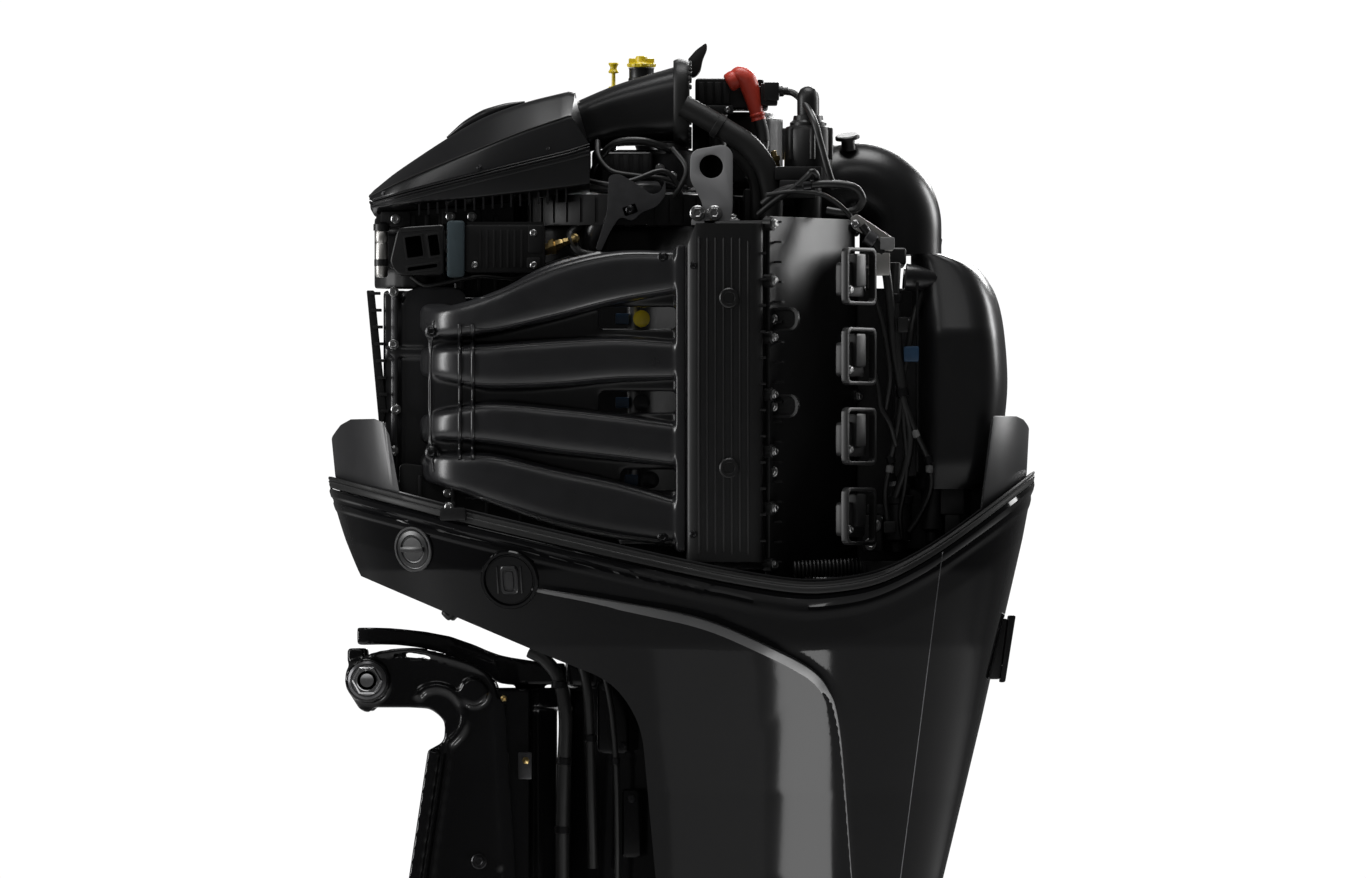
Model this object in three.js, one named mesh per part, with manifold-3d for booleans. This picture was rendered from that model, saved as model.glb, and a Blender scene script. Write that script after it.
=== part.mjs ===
// A vertical-crankshaft V8 outboard motor with its top cowl lifted off, as a three.js scene graph.
// Millimetres. +X is aft, +Y is starboard, +Z is up. The origin is midway between the two clamp
// brackets, at the top edge of the boat's transom. The engine stands upright on a raked transom.
import * as THREE from "three";
import { mergeVertices } from "three/addons/utils/BufferGeometryUtils.js";
import Module from "manifold-3d";

const wasm = await Module();
wasm.setup();

// ---------------------------------------------------------------- driving dimensions
const GAP = 0.5; // clearance between neighbouring pieces
const PORT = -1;
const STARBOARD = 1;

const TRANSOM_RAKE = THREE.MathUtils.degToRad(8.5); // clamp face against the vertical
const TILT_X = -86; // tilt tube axis, which runs along Y
const TILT_Z = 46;
const SWIVEL_X = 125; // steering axis, which runs along Z
const CRANK_X = 250; // crankshaft and driveshaft axis, which runs along Z
const PROP_Z = -870; // propeller shaft axis, which runs along X
const PLATE_Z = -640; // underside of the anti-ventilation plate

const BANK_ANGLE = THREE.MathUtils.degToRad(32); // each cylinder bank against the centreline
const BORE_PITCH = 104;
const BORE_HEIGHTS = [-1.5, -0.5, 0.5, 1.5].map((k) => 414 + k * BORE_PITCH);
const BLOCK_BOTTOM = 182;
const BLOCK_TOP = 640;

const COWL_MIDDLE_X = 370; // where the cowl is widest
const COWL_WALL = 6;
// Cowl outline at rising heights: [height, front x, back x, half width].
const COWL_LEVELS = [
  [-335, 150, 643, 118],
  [-211, 140, 671, 156],
  [-100, 100, 697, 198],
  [0, 20, 720, 244],
  [90, -72, 740, 284],
  [190, -108, 763, 308],
  [330, -150, 795, 320],
];
const COWL_SQUARENESS = 2.7; // superellipse exponent of the plan outline
// Upper edge of the cowl, seen from the side: [x, height].
const RIM = [
  [-170, 305],
  [-40, 270],
  [110, 232],
  [400, 168],
  [530, 159],
  [640, 198],
  [820, 328],
];

// ---------------------------------------------------------------- shape helpers
// A closed geometry as a manifold-3d solid, for the boolean cuts and joins.
function solid(geometry) {
  const source = geometry.index ? geometry.toNonIndexed() : geometry;
  const bare = new THREE.BufferGeometry();
  bare.setAttribute("position", source.getAttribute("position").clone());
  const merged = mergeVertices(bare, 1e-3);
  return new wasm.Manifold(
    new wasm.Mesh({
      numProp: 3,
      vertProperties: merged.attributes.position.array,
      triVerts: new Uint32Array(merged.index.array),
    }),
  );
}

function geometryOf(manifold) {
  const { vertProperties, triVerts, numProp, numVert } = manifold.getMesh();
  const positions = new Float32Array(numVert * 3);
  for (let i = 0; i < numVert; i++)
    positions.set(vertProperties.subarray(i * numProp, i * numProp + 3), i * 3);
  const geometry = new THREE.BufferGeometry();
  geometry.setAttribute("position", new THREE.BufferAttribute(positions, 3));
  geometry.setIndex(new THREE.BufferAttribute(new Uint32Array(triVerts), 1));
  return geometry;
}

const join = (first, ...rest) =>
  geometryOf(rest.reduce((sum, g) => sum.add(solid(g)), solid(first)));
const cut = (first, ...rest) =>
  geometryOf(rest.reduce((left, g) => left.subtract(solid(g)), solid(first)));
const common = (first, second) => geometryOf(solid(first).intersect(solid(second)));

// An outline from corners [a, b, radius]: a corner with a radius is rounded by a curve.
function outline(corners) {
  const shape = new THREE.Shape();
  corners.forEach(([a, b, radius = 0], i) => {
    const corner = new THREE.Vector2(a, b);
    const [pa, pb] = corners.at(i - 1);
    const [na, nb] = corners[(i + 1) % corners.length];
    const back = new THREE.Vector2(pa, pb).sub(corner);
    const ahead = new THREE.Vector2(na, nb).sub(corner);
    const reach = Math.min(radius, 0.48 * back.length(), 0.48 * ahead.length());
    back.setLength(reach).add(corner);
    ahead.setLength(reach).add(corner);
    if (i === 0) shape.moveTo(back.x, back.y);
    else shape.lineTo(back.x, back.y);
    if (radius > 0) shape.quadraticCurveTo(corner.x, corner.y, ahead.x, ahead.y);
  });
  shape.closePath();
  return shape;
}

// A prism along one axis. The outline's two coordinates are the other two axes, in X, Y, Z order.
function prism(axis, corners, from, to, curveSegments = 2) {
  const shape = corners instanceof THREE.Shape ? corners : outline(corners);
  const geometry = new THREE.ExtrudeGeometry(shape, {
    depth: to - from,
    bevelEnabled: false,
    curveSegments,
  });
  const turn = new THREE.Matrix4();
  if (axis === "z") geometry.translate(0, 0, from);
  if (axis === "y") {
    geometry.translate(0, 0, -to);
    turn.set(1, 0, 0, 0, 0, 0, -1, 0, 0, 1, 0, 0, 0, 0, 0, 1);
  }
  if (axis === "x") {
    geometry.translate(0, 0, from);
    turn.set(0, 0, 1, 0, 1, 0, 0, 0, 0, 1, 0, 0, 0, 0, 0, 1);
  }
  return geometry.applyMatrix4(turn);
}

function box(x0, x1, y0, y1, z0, z1) {
  const geometry = new THREE.BoxGeometry(x1 - x0, y1 - y0, z1 - z0);
  return geometry.translate((x0 + x1) / 2, (y0 + y1) / 2, (z0 + z1) / 2);
}

// Turns a geometry made about +Y so that it stands about the named axis.
function about(axis, geometry) {
  if (axis === "z") geometry.rotateX(Math.PI / 2);
  if (axis === "x") geometry.rotateZ(-Math.PI / 2);
  return geometry;
}

function rod(axis, radius, from, to, at, sides = 16) {
  const geometry = new THREE.CylinderGeometry(radius, radius, to - from, sides);
  geometry.translate(0, (from + to) / 2, 0);
  about(axis, geometry);
  const [a, b] = at;
  if (axis === "x") return geometry.translate(0, a, b);
  if (axis === "y") return geometry.translate(a, 0, b);
  return geometry.translate(a, b, 0);
}

// A turned piece: profile points are [radius, distance along the axis], in either order.
function turned(axis, profile, sides = 16) {
  const points = profile.map(([radius, along]) => new THREE.Vector2(radius, along));
  const area = points.reduce((sum, p, i) => sum + p.cross(points[(i + 1) % points.length]), 0);
  if (area < 0) points.reverse();
  points.push(points[0].clone());
  return about(axis, new THREE.LatheGeometry(points, sides));
}

// A solid through convex rings of the same number of points, with a flat cap on each end.
function loft(rings) {
  const count = rings[0].length;
  const positions = rings.flat().flatMap((p) => [p[0], p[1], p[2]]);
  const index = [];
  for (let r = 0; r < rings.length - 1; r++)
    for (let i = 0; i < count; i++) {
      const a = r * count + i;
      const b = r * count + ((i + 1) % count);
      index.push(a, b, b + count, a, b + count, a + count);
    }
  for (let i = 1; i < count - 1; i++) {
    const last = (rings.length - 1) * count;
    index.push(i + 1, i, 0, last + i, last + i + 1, last);
  }
  const geometry = new THREE.BufferGeometry();
  geometry.setAttribute("position", new THREE.Float32BufferAttribute(positions, 3));
  geometry.setIndex(index);
  return outward(geometry);
}

// A closed loop of cross-sections, each a list of points, such as a seal round a rim.
function loop(sections) {
  const count = sections[0].length;
  const positions = sections.flat(2);
  const index = [];
  sections.forEach((section, s) => {
    const next = (s + 1) % sections.length;
    for (let i = 0; i < count; i++) {
      const j = (i + 1) % count;
      index.push(s * count + i, s * count + j, next * count + j);
      index.push(s * count + i, next * count + j, next * count + i);
    }
  });
  const geometry = new THREE.BufferGeometry();
  geometry.setAttribute("position", new THREE.Float32BufferAttribute(positions, 3));
  geometry.setIndex(index);
  return outward(geometry);
}

// Turns every face over if the closed surface encloses a negative volume.
function outward(geometry) {
  const p = geometry.getAttribute("position");
  const index = Array.from(geometry.index.array);
  const [a, b, c] = [new THREE.Vector3(), new THREE.Vector3(), new THREE.Vector3()];
  let volume = 0;
  for (let i = 0; i < index.length; i += 3) {
    a.fromBufferAttribute(p, index[i]);
    b.fromBufferAttribute(p, index[i + 1]);
    c.fromBufferAttribute(p, index[i + 2]);
    volume += a.dot(b.cross(c));
  }
  if (volume < 0) geometry.setIndex(index.reverse());
  return geometry;
}

// A round bar or hose along a smooth curve through the points.
function hose(points, radius, sides = 10, steps = 16) {
  const path = new THREE.CatmullRomCurve3(points.map((p) => new THREE.Vector3(...p)));
  const section = new THREE.Shape();
  for (let i = 0; i < sides; i++) {
    const turn = (2 * Math.PI * i) / sides;
    const [u, v] = [radius * Math.cos(turn), radius * Math.sin(turn)];
    if (i === 0) section.moveTo(u, v);
    else section.lineTo(u, v);
  }
  return new THREE.ExtrudeGeometry(section, { steps, extrudePath: path });
}

// A ring of points for a loft: an ellipse or rounded box round a centre, in the plane of two axes.
function ring(centre, across, up, squareness = 2, count = 12) {
  return Array.from({ length: count }, (_, i) => {
    const turn = (2 * Math.PI * (i + 0.5)) / count;
    const power = 2 / squareness;
    const c = Math.sign(Math.cos(turn)) * Math.abs(Math.cos(turn)) ** power;
    const s = Math.sign(Math.sin(turn)) * Math.abs(Math.sin(turn)) ** power;
    return centre.map((value, k) => value + across[k] * c + up[k] * s);
  });
}

// ---------------------------------------------------------------- finishes
const finish = (color, roughness, metalness) =>
  new THREE.MeshStandardMaterial({ color, roughness, metalness });
const FINISHES = {
  gloss_black: finish(0x0a0a0b, 0.15, 0.1),
  satin_black: finish(0x141415, 0.45, 0.2),
  moulded_black: finish(0x1b1b1c, 0.6, 0.0),
  cast_black: finish(0x101011, 0.5, 0.4),
  rubber_black: finish(0x0c0c0c, 0.85, 0.0),
  steel: finish(0x9a9a9c, 0.3, 1.0),
  bright_metal: finish(0xb9b9b4, 0.35, 0.9),
  bracket_grey: finish(0x4a4a4c, 0.45, 0.6),
  yellow: finish(0xd8b400, 0.4, 0.0),
  red: finish(0xb8281c, 0.45, 0.0),
};

function piece(parent, name, geometry, material) {
  const mesh = new THREE.Mesh(geometry, FINISHES[material]);
  mesh.name = name;
  parent.add(mesh);
  return mesh;
}

const sideName = (side) => (side === PORT ? "port" : "starboard");
const motor = new THREE.Group();

// ---------------------------------------------------------------- transom mount
const rakeX = (z) => z * Math.tan(TRANSOM_RAKE); // clamp face at a height below the transom's edge
const BRACKET_FOOT = -330;
const HOOK_UNDER = 10.5; // the hooks sit on a pad over the transom's edge
const WEB = [150, 168]; // each bracket's side wall, from the centreline
const FLANGE = [106, 184]; // each bracket's clamp flange

function clampBracket(parent, side) {
  const span = (a, b) => (side === PORT ? [-b, -a] : [a, b]);
  const web = prism("y", [
    [TILT_X - 30, TILT_Z - 6, 12], [TILT_X - 26, TILT_Z + 27, 18], [-38, 77, 20], [34, 67, 14],
    [78, 46, 20], [95, -60, 30], [102, -215, 20], [70, BRACKET_FOOT, 20],
    [rakeX(BRACKET_FOOT) + 2, BRACKET_FOOT, 6], [rakeX(-44) + 2, -44, 4], [14, -34, 6], [16, -6, 10],
    [-4, 9, 6], [-40, 11, 4], [-76, 14, 4], [-84, 3, 3], [-96, 8, 4],
  ], ...span(...WEB));
  const flange = prism("y", [
    [rakeX(-44), -44, 2], [rakeX(-44) + 16, -46, 3],
    [rakeX(BRACKET_FOOT) + 16, BRACKET_FOOT, 3], [rakeX(BRACKET_FOOT), BRACKET_FOOT],
  ], ...span(...FLANGE));
  const hook = prism("y", [
    [-80, HOOK_UNDER], [-80, 30, 4], [-6, 30, 6], [-2, HOOK_UNDER],
  ], ...span(WEB[0] - 22, WEB[1]));
  const rearRib = prism("y", [
    [80, 20, 4], [94, 22, 4], [108, -215, 6], [74, BRACKET_FOOT, 4], [62, BRACKET_FOOT, 4],
    [92, -210, 6],
  ], ...span(WEB[0] - 12, WEB[1] + 4));
  const tubeBoss = rod("y", 29, ...span(WEB[0] - 14, WEB[1] + 10), [TILT_X, TILT_Z], 20);
  const rearBoss = rod("y", 18, ...span(WEB[0], WEB[1] + 6), [53, 31], 20);
  const tubeBore = rod("y", 14.5, ...span(100, 200), [TILT_X, TILT_Z]);
  const holes = [[163.5, -75], [125.5, -262], [125.5, -290]].map(([y, z]) =>
    rod("x", 6.75, -80, 6, [side * y, z], 8));
  piece(parent, `${sideName(side)}_clamp_bracket`,
    cut(join(web, flange, hook, rearRib, tubeBoss, rearBoss), tubeBore, ...holes), "satin_black");
}

const mountGroup = new THREE.Group();
[PORT, STARBOARD].forEach((side) => clampBracket(mountGroup, side));

const TUBE_END = 196;
piece(mountGroup, "tilt_tube", cut(
  join(
    rod("y", 14, -TUBE_END, TUBE_END, [TILT_X, TILT_Z]),
    rod("y", 22, -192, -179, [TILT_X, TILT_Z], 6),
    rod("y", 22, 179, 192, [TILT_X, TILT_Z], 6),
  ),
  rod("y", 8, -TUBE_END - 5, TUBE_END + 5, [TILT_X, TILT_Z], 16),
), "bright_metal");

// The power-tilt ram stands between the brackets, on a pin low down, and lifts the swivel bracket.
const CHEEK = [48, 70]; // the swivel bracket's side walls, each side of the ram
const RAM_FOOT = [8, -292];
const RAM_HEAD = [50, -15];
const ramLength = Math.hypot(RAM_HEAD[0] - RAM_FOOT[0], RAM_HEAD[1] - RAM_FOOT[1]);
const ramLean = Math.atan2(RAM_HEAD[0] - RAM_FOOT[0], RAM_HEAD[1] - RAM_FOOT[1]);
const ramGroup = new THREE.Group();
ramGroup.position.set(RAM_FOOT[0], 0, RAM_FOOT[1]);
ramGroup.rotation.y = ramLean;
mountGroup.add(ramGroup);
const BARREL_TOP = 214;
piece(ramGroup, "tilt_cylinder", cut(
  join(
    rod("z", 27, 22, BARREL_TOP, [0, 0], 24),
    rod("y", 21, -16, 16, [0, 0], 20),
    box(-12, 12, -16, 16, 0, 30),
    rod("z", 30, BARREL_TOP - 22, BARREL_TOP, [0, 0], 24),
  ),
  rod("y", 10.4, -20, 20, [0, 0], 16),
  rod("z", 10.5, 52, BARREL_TOP + 5, [0, 0]),
), "satin_black");
piece(ramGroup, "tilt_ram_rod", join(
  rod("z", 10, 66, ramLength - 12, [0, 0]),
  rod("y", 18, -14, 14, [0, ramLength]),
  rod("y", 9, -CHEEK[0] + GAP, CHEEK[0] - GAP, [0, ramLength]),
), "steel");

// Trim pump with its cross shaft: a cast body between the brackets' feet, with the motor on one
// side of the ram and the fluid reservoir on the other.
function pumpHalf(side, radius, low, high) {
  const span = (a, b) => (side === PORT ? [-b, -a] : [a, b]);
  return join(
    prism("y", [
      [rakeX(-300) + 30, -322, 4], [36, -322, 6], [44, -250, 6], [rakeX(-250) + 34, -250, 6],
    ], ...span(38, WEB[0] - GAP)),
    rod("z", radius, low, high, [36, side * 101]),
  );
}
piece(mountGroup, "trim_pump_unit", join(
  rod("y", 10, -WEB[0] + GAP, WEB[0] - GAP, RAM_FOOT),
  pumpHalf(STARBOARD, 27, -262, -95),
  pumpHalf(PORT, 23, -280, -190),
), "cast_black");

// ---------------------------------------------------------------- swivel bracket
const EAR = [62, 118]; // bearing on the tilt tube, each side
const SWIVEL_TOP = 36;
const SWIVEL_FOOT = -306;
const SPINDLE = 19;
function swivelCheek(side) {
  const span = (a, b) => (side === PORT ? [-b, -a] : [a, b]);
  return join(
    prism("y", [
      [TILT_X - 6, TILT_Z + 22, 10], [-30, 64, 16], [90, 34, 10], [SWIVEL_X, SWIVEL_TOP, 4],
      [SWIVEL_X, SWIVEL_FOOT + 40, 10], [84, SWIVEL_FOOT + 60, 20], [76, -120, 30], [40, -45, 30],
      [22, 12, 12], [-40, 20, 16], [TILT_X - 10, TILT_Z - 22, 10],
    ], ...span(...CHEEK)),
    rod("y", 25, ...span(...EAR), [TILT_X, TILT_Z], 24),
  );
}
const spine = join(
  rod("z", 36, SWIVEL_FOOT, SWIVEL_TOP, [SWIVEL_X, 0], 20),
  box(98, SWIVEL_X, -CHEEK[0] - 4, CHEEK[0] + 4, SWIVEL_FOOT + 60, SWIVEL_TOP - 3),
  rod("z", 44, SWIVEL_TOP - 26, SWIVEL_TOP, [SWIVEL_X, 0], 20),
  rod("z", 44, SWIVEL_FOOT, SWIVEL_FOOT + 26, [SWIVEL_X, 0], 20),
);
piece(mountGroup, "swivel_bracket", cut(
  join(swivelCheek(PORT), swivelCheek(STARBOARD), spine,
    box(-60, 10, -CHEEK[0] - 6, CHEEK[0] + 6, 44, 62)),
  rod("y", 14.6, -130, 130, [TILT_X, TILT_Z], 20),
  rod("z", SPINDLE + 0.4, SWIVEL_FOOT - 5, SWIVEL_TOP + 5, [SWIVEL_X, 0]),
), "satin_black");

// Hand lever that props the tilted engine on the brackets.
const LOCK_AT = [-18, 36];
piece(mountGroup, "tilt_lock_lever", join(
  rod("y", 9, -96, -CHEEK[1] - GAP, LOCK_AT, 14),
  prism("y", [
    [LOCK_AT[0] - 8, LOCK_AT[1] + 6, 5], [LOCK_AT[0] + 8, LOCK_AT[1] + 8, 5],
    [LOCK_AT[0] + 78, LOCK_AT[1] - 34, 6], [LOCK_AT[0] + 70, LOCK_AT[1] - 46, 6],
  ], -96, -86),
), "satin_black");

// ---------------------------------------------------------------- steering arm and lower yoke
const ARM_BORE = 8;
const armSide = prism("y", [
  [-102, 92, 4], [-102, 115, 2], [-60, 115, 20], [20, 106, 40], [84, 78, 16], [150, 68, 8],
  [171, 68], [171, SWIVEL_TOP + 4], [84, SWIVEL_TOP + 4, 14], [62, 58, 20], [10, 84, 40],
  [-50, 93, 20],
], -60, 60);
const armPlan = prism("z", [
  [-106, -22, 16], [-106, 22, 16], [30, 30, 40], [110, 58, 20], [178, 58, 12], [178, -58, 12],
  [110, -58, 20], [30, -30, 40],
], 20, 130);
piece(motor, "steering_arm", cut(
  join(
    common(armSide, armPlan),
    rod("z", SPINDLE, SWIVEL_FOOT - 34, SWIVEL_TOP + 20, [SWIVEL_X, 0]),
  ),
  rod("z", ARM_BORE, 80, 130, [-84, 0], 16),
), "cast_black");
piece(motor, "lower_yoke", cut(
  prism("z", [
    [SWIVEL_X - 38, -34, 18], [SWIVEL_X - 38, 34, 18], [152, 56, 10], [168, 56, 2],
    [168, -56, 2], [152, -56, 10],
  ], SWIVEL_FOOT - 34, SWIVEL_FOOT - GAP),
  rod("z", SPINDLE + 0.4, SWIVEL_FOOT - 40, SWIVEL_FOOT + 5, [SWIVEL_X, 0]),
), "cast_black");

// ---------------------------------------------------------------- lower cowl
const mix = (a, b, share) => a + (b - a) * share;
const curveThrough = (table, x) => {
  const path = new THREE.SplineCurve(table.map(([a, b]) => new THREE.Vector2(a, b)));
  let [low, high] = [0, 1];
  for (let i = 0; i < 24; i++) {
    const middle = (low + high) / 2;
    if (path.getPoint(middle).x < x) low = middle;
    else high = middle;
  }
  return path.getPoint((low + high) / 2).y;
};
const rimHeight = (x) => curveThrough(RIM, x);

function cowlLevel(z) {
  const last = COWL_LEVELS.length - 1;
  let i = 0;
  while (i < last - 1 && z > COWL_LEVELS[i + 1][0]) i++;
  const [low, high] = [COWL_LEVELS[i], COWL_LEVELS[i + 1]];
  const share = (z - low[0]) / (high[0] - low[0]);
  return [1, 2, 3].map((k) => mix(low[k], high[k], share));
}
// A point of the cowl's outline: turn runs from 0 at the bow round the port side to the stern.
function cowlPoint(turn, z, inset = 0) {
  const [front, back, half] = cowlLevel(z);
  const reach = (Math.cos(turn) > 0 ? COWL_MIDDLE_X - front : back - COWL_MIDDLE_X) - inset;
  const power = 2 / COWL_SQUARENESS;
  const along = Math.sign(Math.cos(turn)) * Math.abs(Math.cos(turn)) ** power;
  const out = Math.sign(Math.sin(turn)) * Math.abs(Math.sin(turn)) ** power;
  return [COWL_MIDDLE_X - along * reach, -out * (half - inset), z];
}
function cowlBody(inset, bottom, top) {
  const heights = [bottom, -211, -100, 0, 90, 190, top];
  return loft(heights.map((z) =>
    Array.from({ length: 32 }, (_, i) => cowlPoint((2 * Math.PI * i) / 32, z, inset))));
}
const rimLine = Array.from({ length: 15 }, (_, i) => mix(-170, 820, i / 14))
  .map((x) => [x, rimHeight(x)]);
const COWL_FOOT = -335;
const cowlSide = (lift) => [
  ...rimLine.map(([x, z]) => [x, z + (lift ? 40 : 0)]),
  [820, COWL_FOOT - lift * 2],
  [303 + lift, COWL_FOOT - lift * 2],
  [290 + lift, -211], [272 + lift, -12 + lift * 0.5, 30], [236, 44 + lift, 20],
  [147, 79 + lift], [-107, 187 + lift], [-170, 214 + lift],
];
const cowlShell = cut(
  common(cowlBody(0, COWL_FOOT, 330), prism("y", cowlSide(0), -330, 330)),
  common(cowlBody(COWL_WALL, COWL_FOOT - 1, 331), prism("y", cowlSide(COWL_WALL), -330, 330)),
  box(130, 330, -98, 98, COWL_FOOT - 5, 125),
);
piece(motor, "port_lower_cowl", common(cowlShell, box(-300, 900, -400, -GAP, -400, 400)),
  "gloss_black");
piece(motor, "starboard_lower_cowl", common(cowlShell, box(-300, 900, GAP, 400, -400, 400)),
  "gloss_black");

// Pieces that run round the inside of the rim are loops of small cross-sections.
function rimLoop(section, count = 50) {
  return loop(Array.from({ length: count }, (_, i) => {
    const turn = (2 * Math.PI * (i + 0.5)) / count;
    let [x, y, z] = cowlPoint(turn, 250);
    for (let k = 0; k < 6; k++) {
      z = rimHeight(x);
      [x, y] = cowlPoint(turn, z);
    }
    return section(x, y).map(([inset, height]) => [...cowlPoint(turn, z, inset).slice(0, 2), height]);
  }));
}
piece(motor, "cowl_rim_seal", rimLoop((x) => {
  const z = rimHeight(x) + 2.5;
  return [[3, z], [3, z + 7], [7, z + 15], [12.5, z + 15], [12.5, z]];
}), "rubber_black");
const FRONT_SHROUD = 387;
const REAR_SHROUD = 391;
piece(motor, "cowl_liner", rimLoop((x) => {
  const z = rimHeight(x) - 12;
  const top = x < -52 ? FRONT_SHROUD : x > 722 ? REAR_SHROUD : z + 32;
  return [[14, z], [14, top], [18, top], [18, z]];
}), "satin_black");

// Lever at the stern that releases the top cowl.
const LATCH_AT = [752, 131];
const sternSlope = (790 - 671) / (307 + 211);
piece(motor, "cowl_latch", prism("y", [
  [LATCH_AT[0] + 1.5, LATCH_AT[1], 2], [LATCH_AT[0] + 11, LATCH_AT[1], 2],
  [LATCH_AT[0] + 11 - 88 * sternSlope, LATCH_AT[1] - 88, 2],
  [LATCH_AT[0] + 4 - 88 * sternSlope, LATCH_AT[1] - 88, 2],
], -38, 38), "satin_black");

// ---------------------------------------------------------------- driveshaft housing and adapter
const HOUSING_TOP = 150;
const legRing = (z, front, back, half, squareness = 2.4) =>
  ring([(front + back) / 2, 0, z], [(back - front) / 2, 0, 0], [0, half, 0], squareness, 20);
piece(motor, "driveshaft_housing", cut(
  join(
    loft([
      legRing(HOUSING_TOP, 176, 560, 92), legRing(-60, 176, 540, 84),
      legRing(-211, 174, 560, 84), legRing(-330, 172, 618, 92), legRing(-345, 170, 640, 112),
      legRing(-460, 166, 616, 84), legRing(-600, 160, 588, 56), legRing(PLATE_Z + 10, 150, 590, 54),
    ]),
    prism("z", [
      [132, -30, 26], [132, 30, 26], [300, 92, 60], [560, 104, 50], [786, 62, 40],
      [786, -62, 40], [560, -104, 50], [300, -92, 60],
    ], PLATE_Z, PLATE_Z + 11),
    box(171.5, 230, -60, 60, SWIVEL_TOP + 2, 72),
    box(168.5, 230, -58, 58, SWIVEL_FOOT - 34, SWIVEL_FOOT - 2),
  ),
  rod("z", 46, PLATE_Z - 5, HOUSING_TOP + 5, [CRANK_X, 0], 24),
), "gloss_black");
piece(motor, "adapter_plate", cut(
  prism("z", [
    [100, -110, 40], [100, 110, 40], [300, 190, 60], [600, 170, 60], [640, 0, 60], [600, -170, 60],
    [300, -190, 60],
  ], HOUSING_TOP + GAP, BLOCK_BOTTOM - GAP),
  rod("z", 46, 140, 190, [CRANK_X, 0], 24),
), "cast_black");

// ---------------------------------------------------------------- gearcase
const gearcaseGroup = new THREE.Group();
gearcaseGroup.position.set(CRANK_X, 0, PROP_Z);
motor.add(gearcaseGroup);
const DECK = PLATE_Z - GAP - PROP_Z; // gearcase's top face above the propeller shaft
const TORPEDO = 73;
const TORPEDO_BACK = 318;
const GEAR_ROOM = 58;
const SHIFT_X = -62;
piece(gearcaseGroup, "gearcase", cut(
  join(
    turned("x", [
      [0, -168], [18, -163], [40, -146], [62, -96], [TORPEDO, -20],
      [TORPEDO, 200], [66, TORPEDO_BACK], [0, TORPEDO_BACK],
    ], 22),
    loft([
      legRing(DECK, -102, 332, 50), legRing(DECK - 40, -98, 318, 46), legRing(90, -100, 290, 42),
      legRing(30, -104, 286, 50),
    ]),
    loft([
      ring([80, 0, -50], [130, 0, 0], [0, 16, 0], 2.2, 20),
      ring([96, 0, -120], [104, 0, 0], [0, 9, 0], 2.2, 20),
      ring([120, 0, -196], [62, 0, 0], [0, 5, 0], 2.2, 20),
    ]),
  ),
  rod("x", GEAR_ROOM, -72, TORPEDO_BACK + 5, [0, 0], 22),
  rod("z", 24, 0, DECK + 5, [0, 0], 20),
  rod("x", 15, -110, 0, [0, 0], 16),
), "gloss_black");
piece(gearcaseGroup, "bearing_carrier", turned("x", [
  [15, 120], [30, 120], [30, 190], [54, 250], [56.5, 300], [56.5, TORPEDO_BACK - 2],
  [15, TORPEDO_BACK - 2],
]), "bright_metal");
piece(gearcaseGroup, "trim_tab", prism("y", [
  [372, DECK - 1, 2], [452, DECK - 1, 2], [468, DECK - 29, 8], [424, DECK - 33, 8],
], -6, 6), "bright_metal");
piece(gearcaseGroup, "water_pump_housing", turned("z", [
  [17, DECK + 1.5], [40, DECK + 1.5], [42, DECK + 8], [42, DECK + 40], [34, DECK + 58],
  [17, DECK + 58], [17, DECK + 44], [33, DECK + 38], [33, DECK + 12], [17, DECK + 8],
]), "moulded_black");
piece(gearcaseGroup, "pump_impeller", join(
  turned("z", [[14.5, DECK + 13], [19, DECK + 13], [19, DECK + 36], [14.5, DECK + 36]], 20),
  ...Array.from({ length: 6 }, (_, i) =>
    box(17, 31, -2, 2, DECK + 14, DECK + 35).rotateZ((i * Math.PI) / 3)),
), "rubber_black");

// Straight bevel gears that share an apex on the propeller shaft, below the driveshaft.
const MODULE = 4;
const PINION_TEETH = 13;
const GEAR_TEETH = 24;
const FACE_WIDTH = 15;
function bevelGear(teeth, mateTeeth, bore, phase, hubLength) {
  const [radius, height] = [(teeth * MODULE) / 2, (mateTeeth * MODULE) / 2];
  const cone = Math.atan2(radius, height);
  const inner = 1 - FACE_WIDTH / Math.hypot(radius, height);
  const at = (rise) => [radius + rise * Math.cos(cone), height - rise * Math.sin(cone)];
  const root = at(-1.1 * MODULE);
  const tip = at(0.62 * MODULE);
  // Each tooth is drawn by the two foot corners and the two tip corners of its outline.
  const corners = [[-0.24, root], [-0.11, tip], [0.11, tip], [0.24, root]];
  const back = height + hubLength;
  const front = root[1] * inner;
  const sections = [];
  for (let i = 0; i < teeth; i++)
    for (const [share, [r, z]] of corners) {
      const turn = ((i + phase + share) * 2 * Math.PI) / teeth;
      sections.push([[bore, back], [r, z], [r * inner, z * inner], [bore, front]]
        .map(([out, up]) => [out * Math.cos(turn), out * Math.sin(turn), up]));
    }
  return loop(sections);
}
// The pinion hangs over the shaft, the forward gear is ahead of it and the reverse gear behind it.
piece(gearcaseGroup, "pinion_gear",
  bevelGear(PINION_TEETH, GEAR_TEETH, 9.5, 0, 16), "steel").rotation.z = Math.PI;
const forwardGear = piece(gearcaseGroup, "forward_gear",
  bevelGear(GEAR_TEETH, PINION_TEETH, 14.4, 0.5, 14), "steel");
forwardGear.rotation.y = -Math.PI / 2;
const reverseGear = piece(gearcaseGroup, "reverse_gear",
  bevelGear(GEAR_TEETH, PINION_TEETH, 14.4, 0, 14), "steel");
reverseGear.rotation.y = Math.PI / 2;

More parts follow.
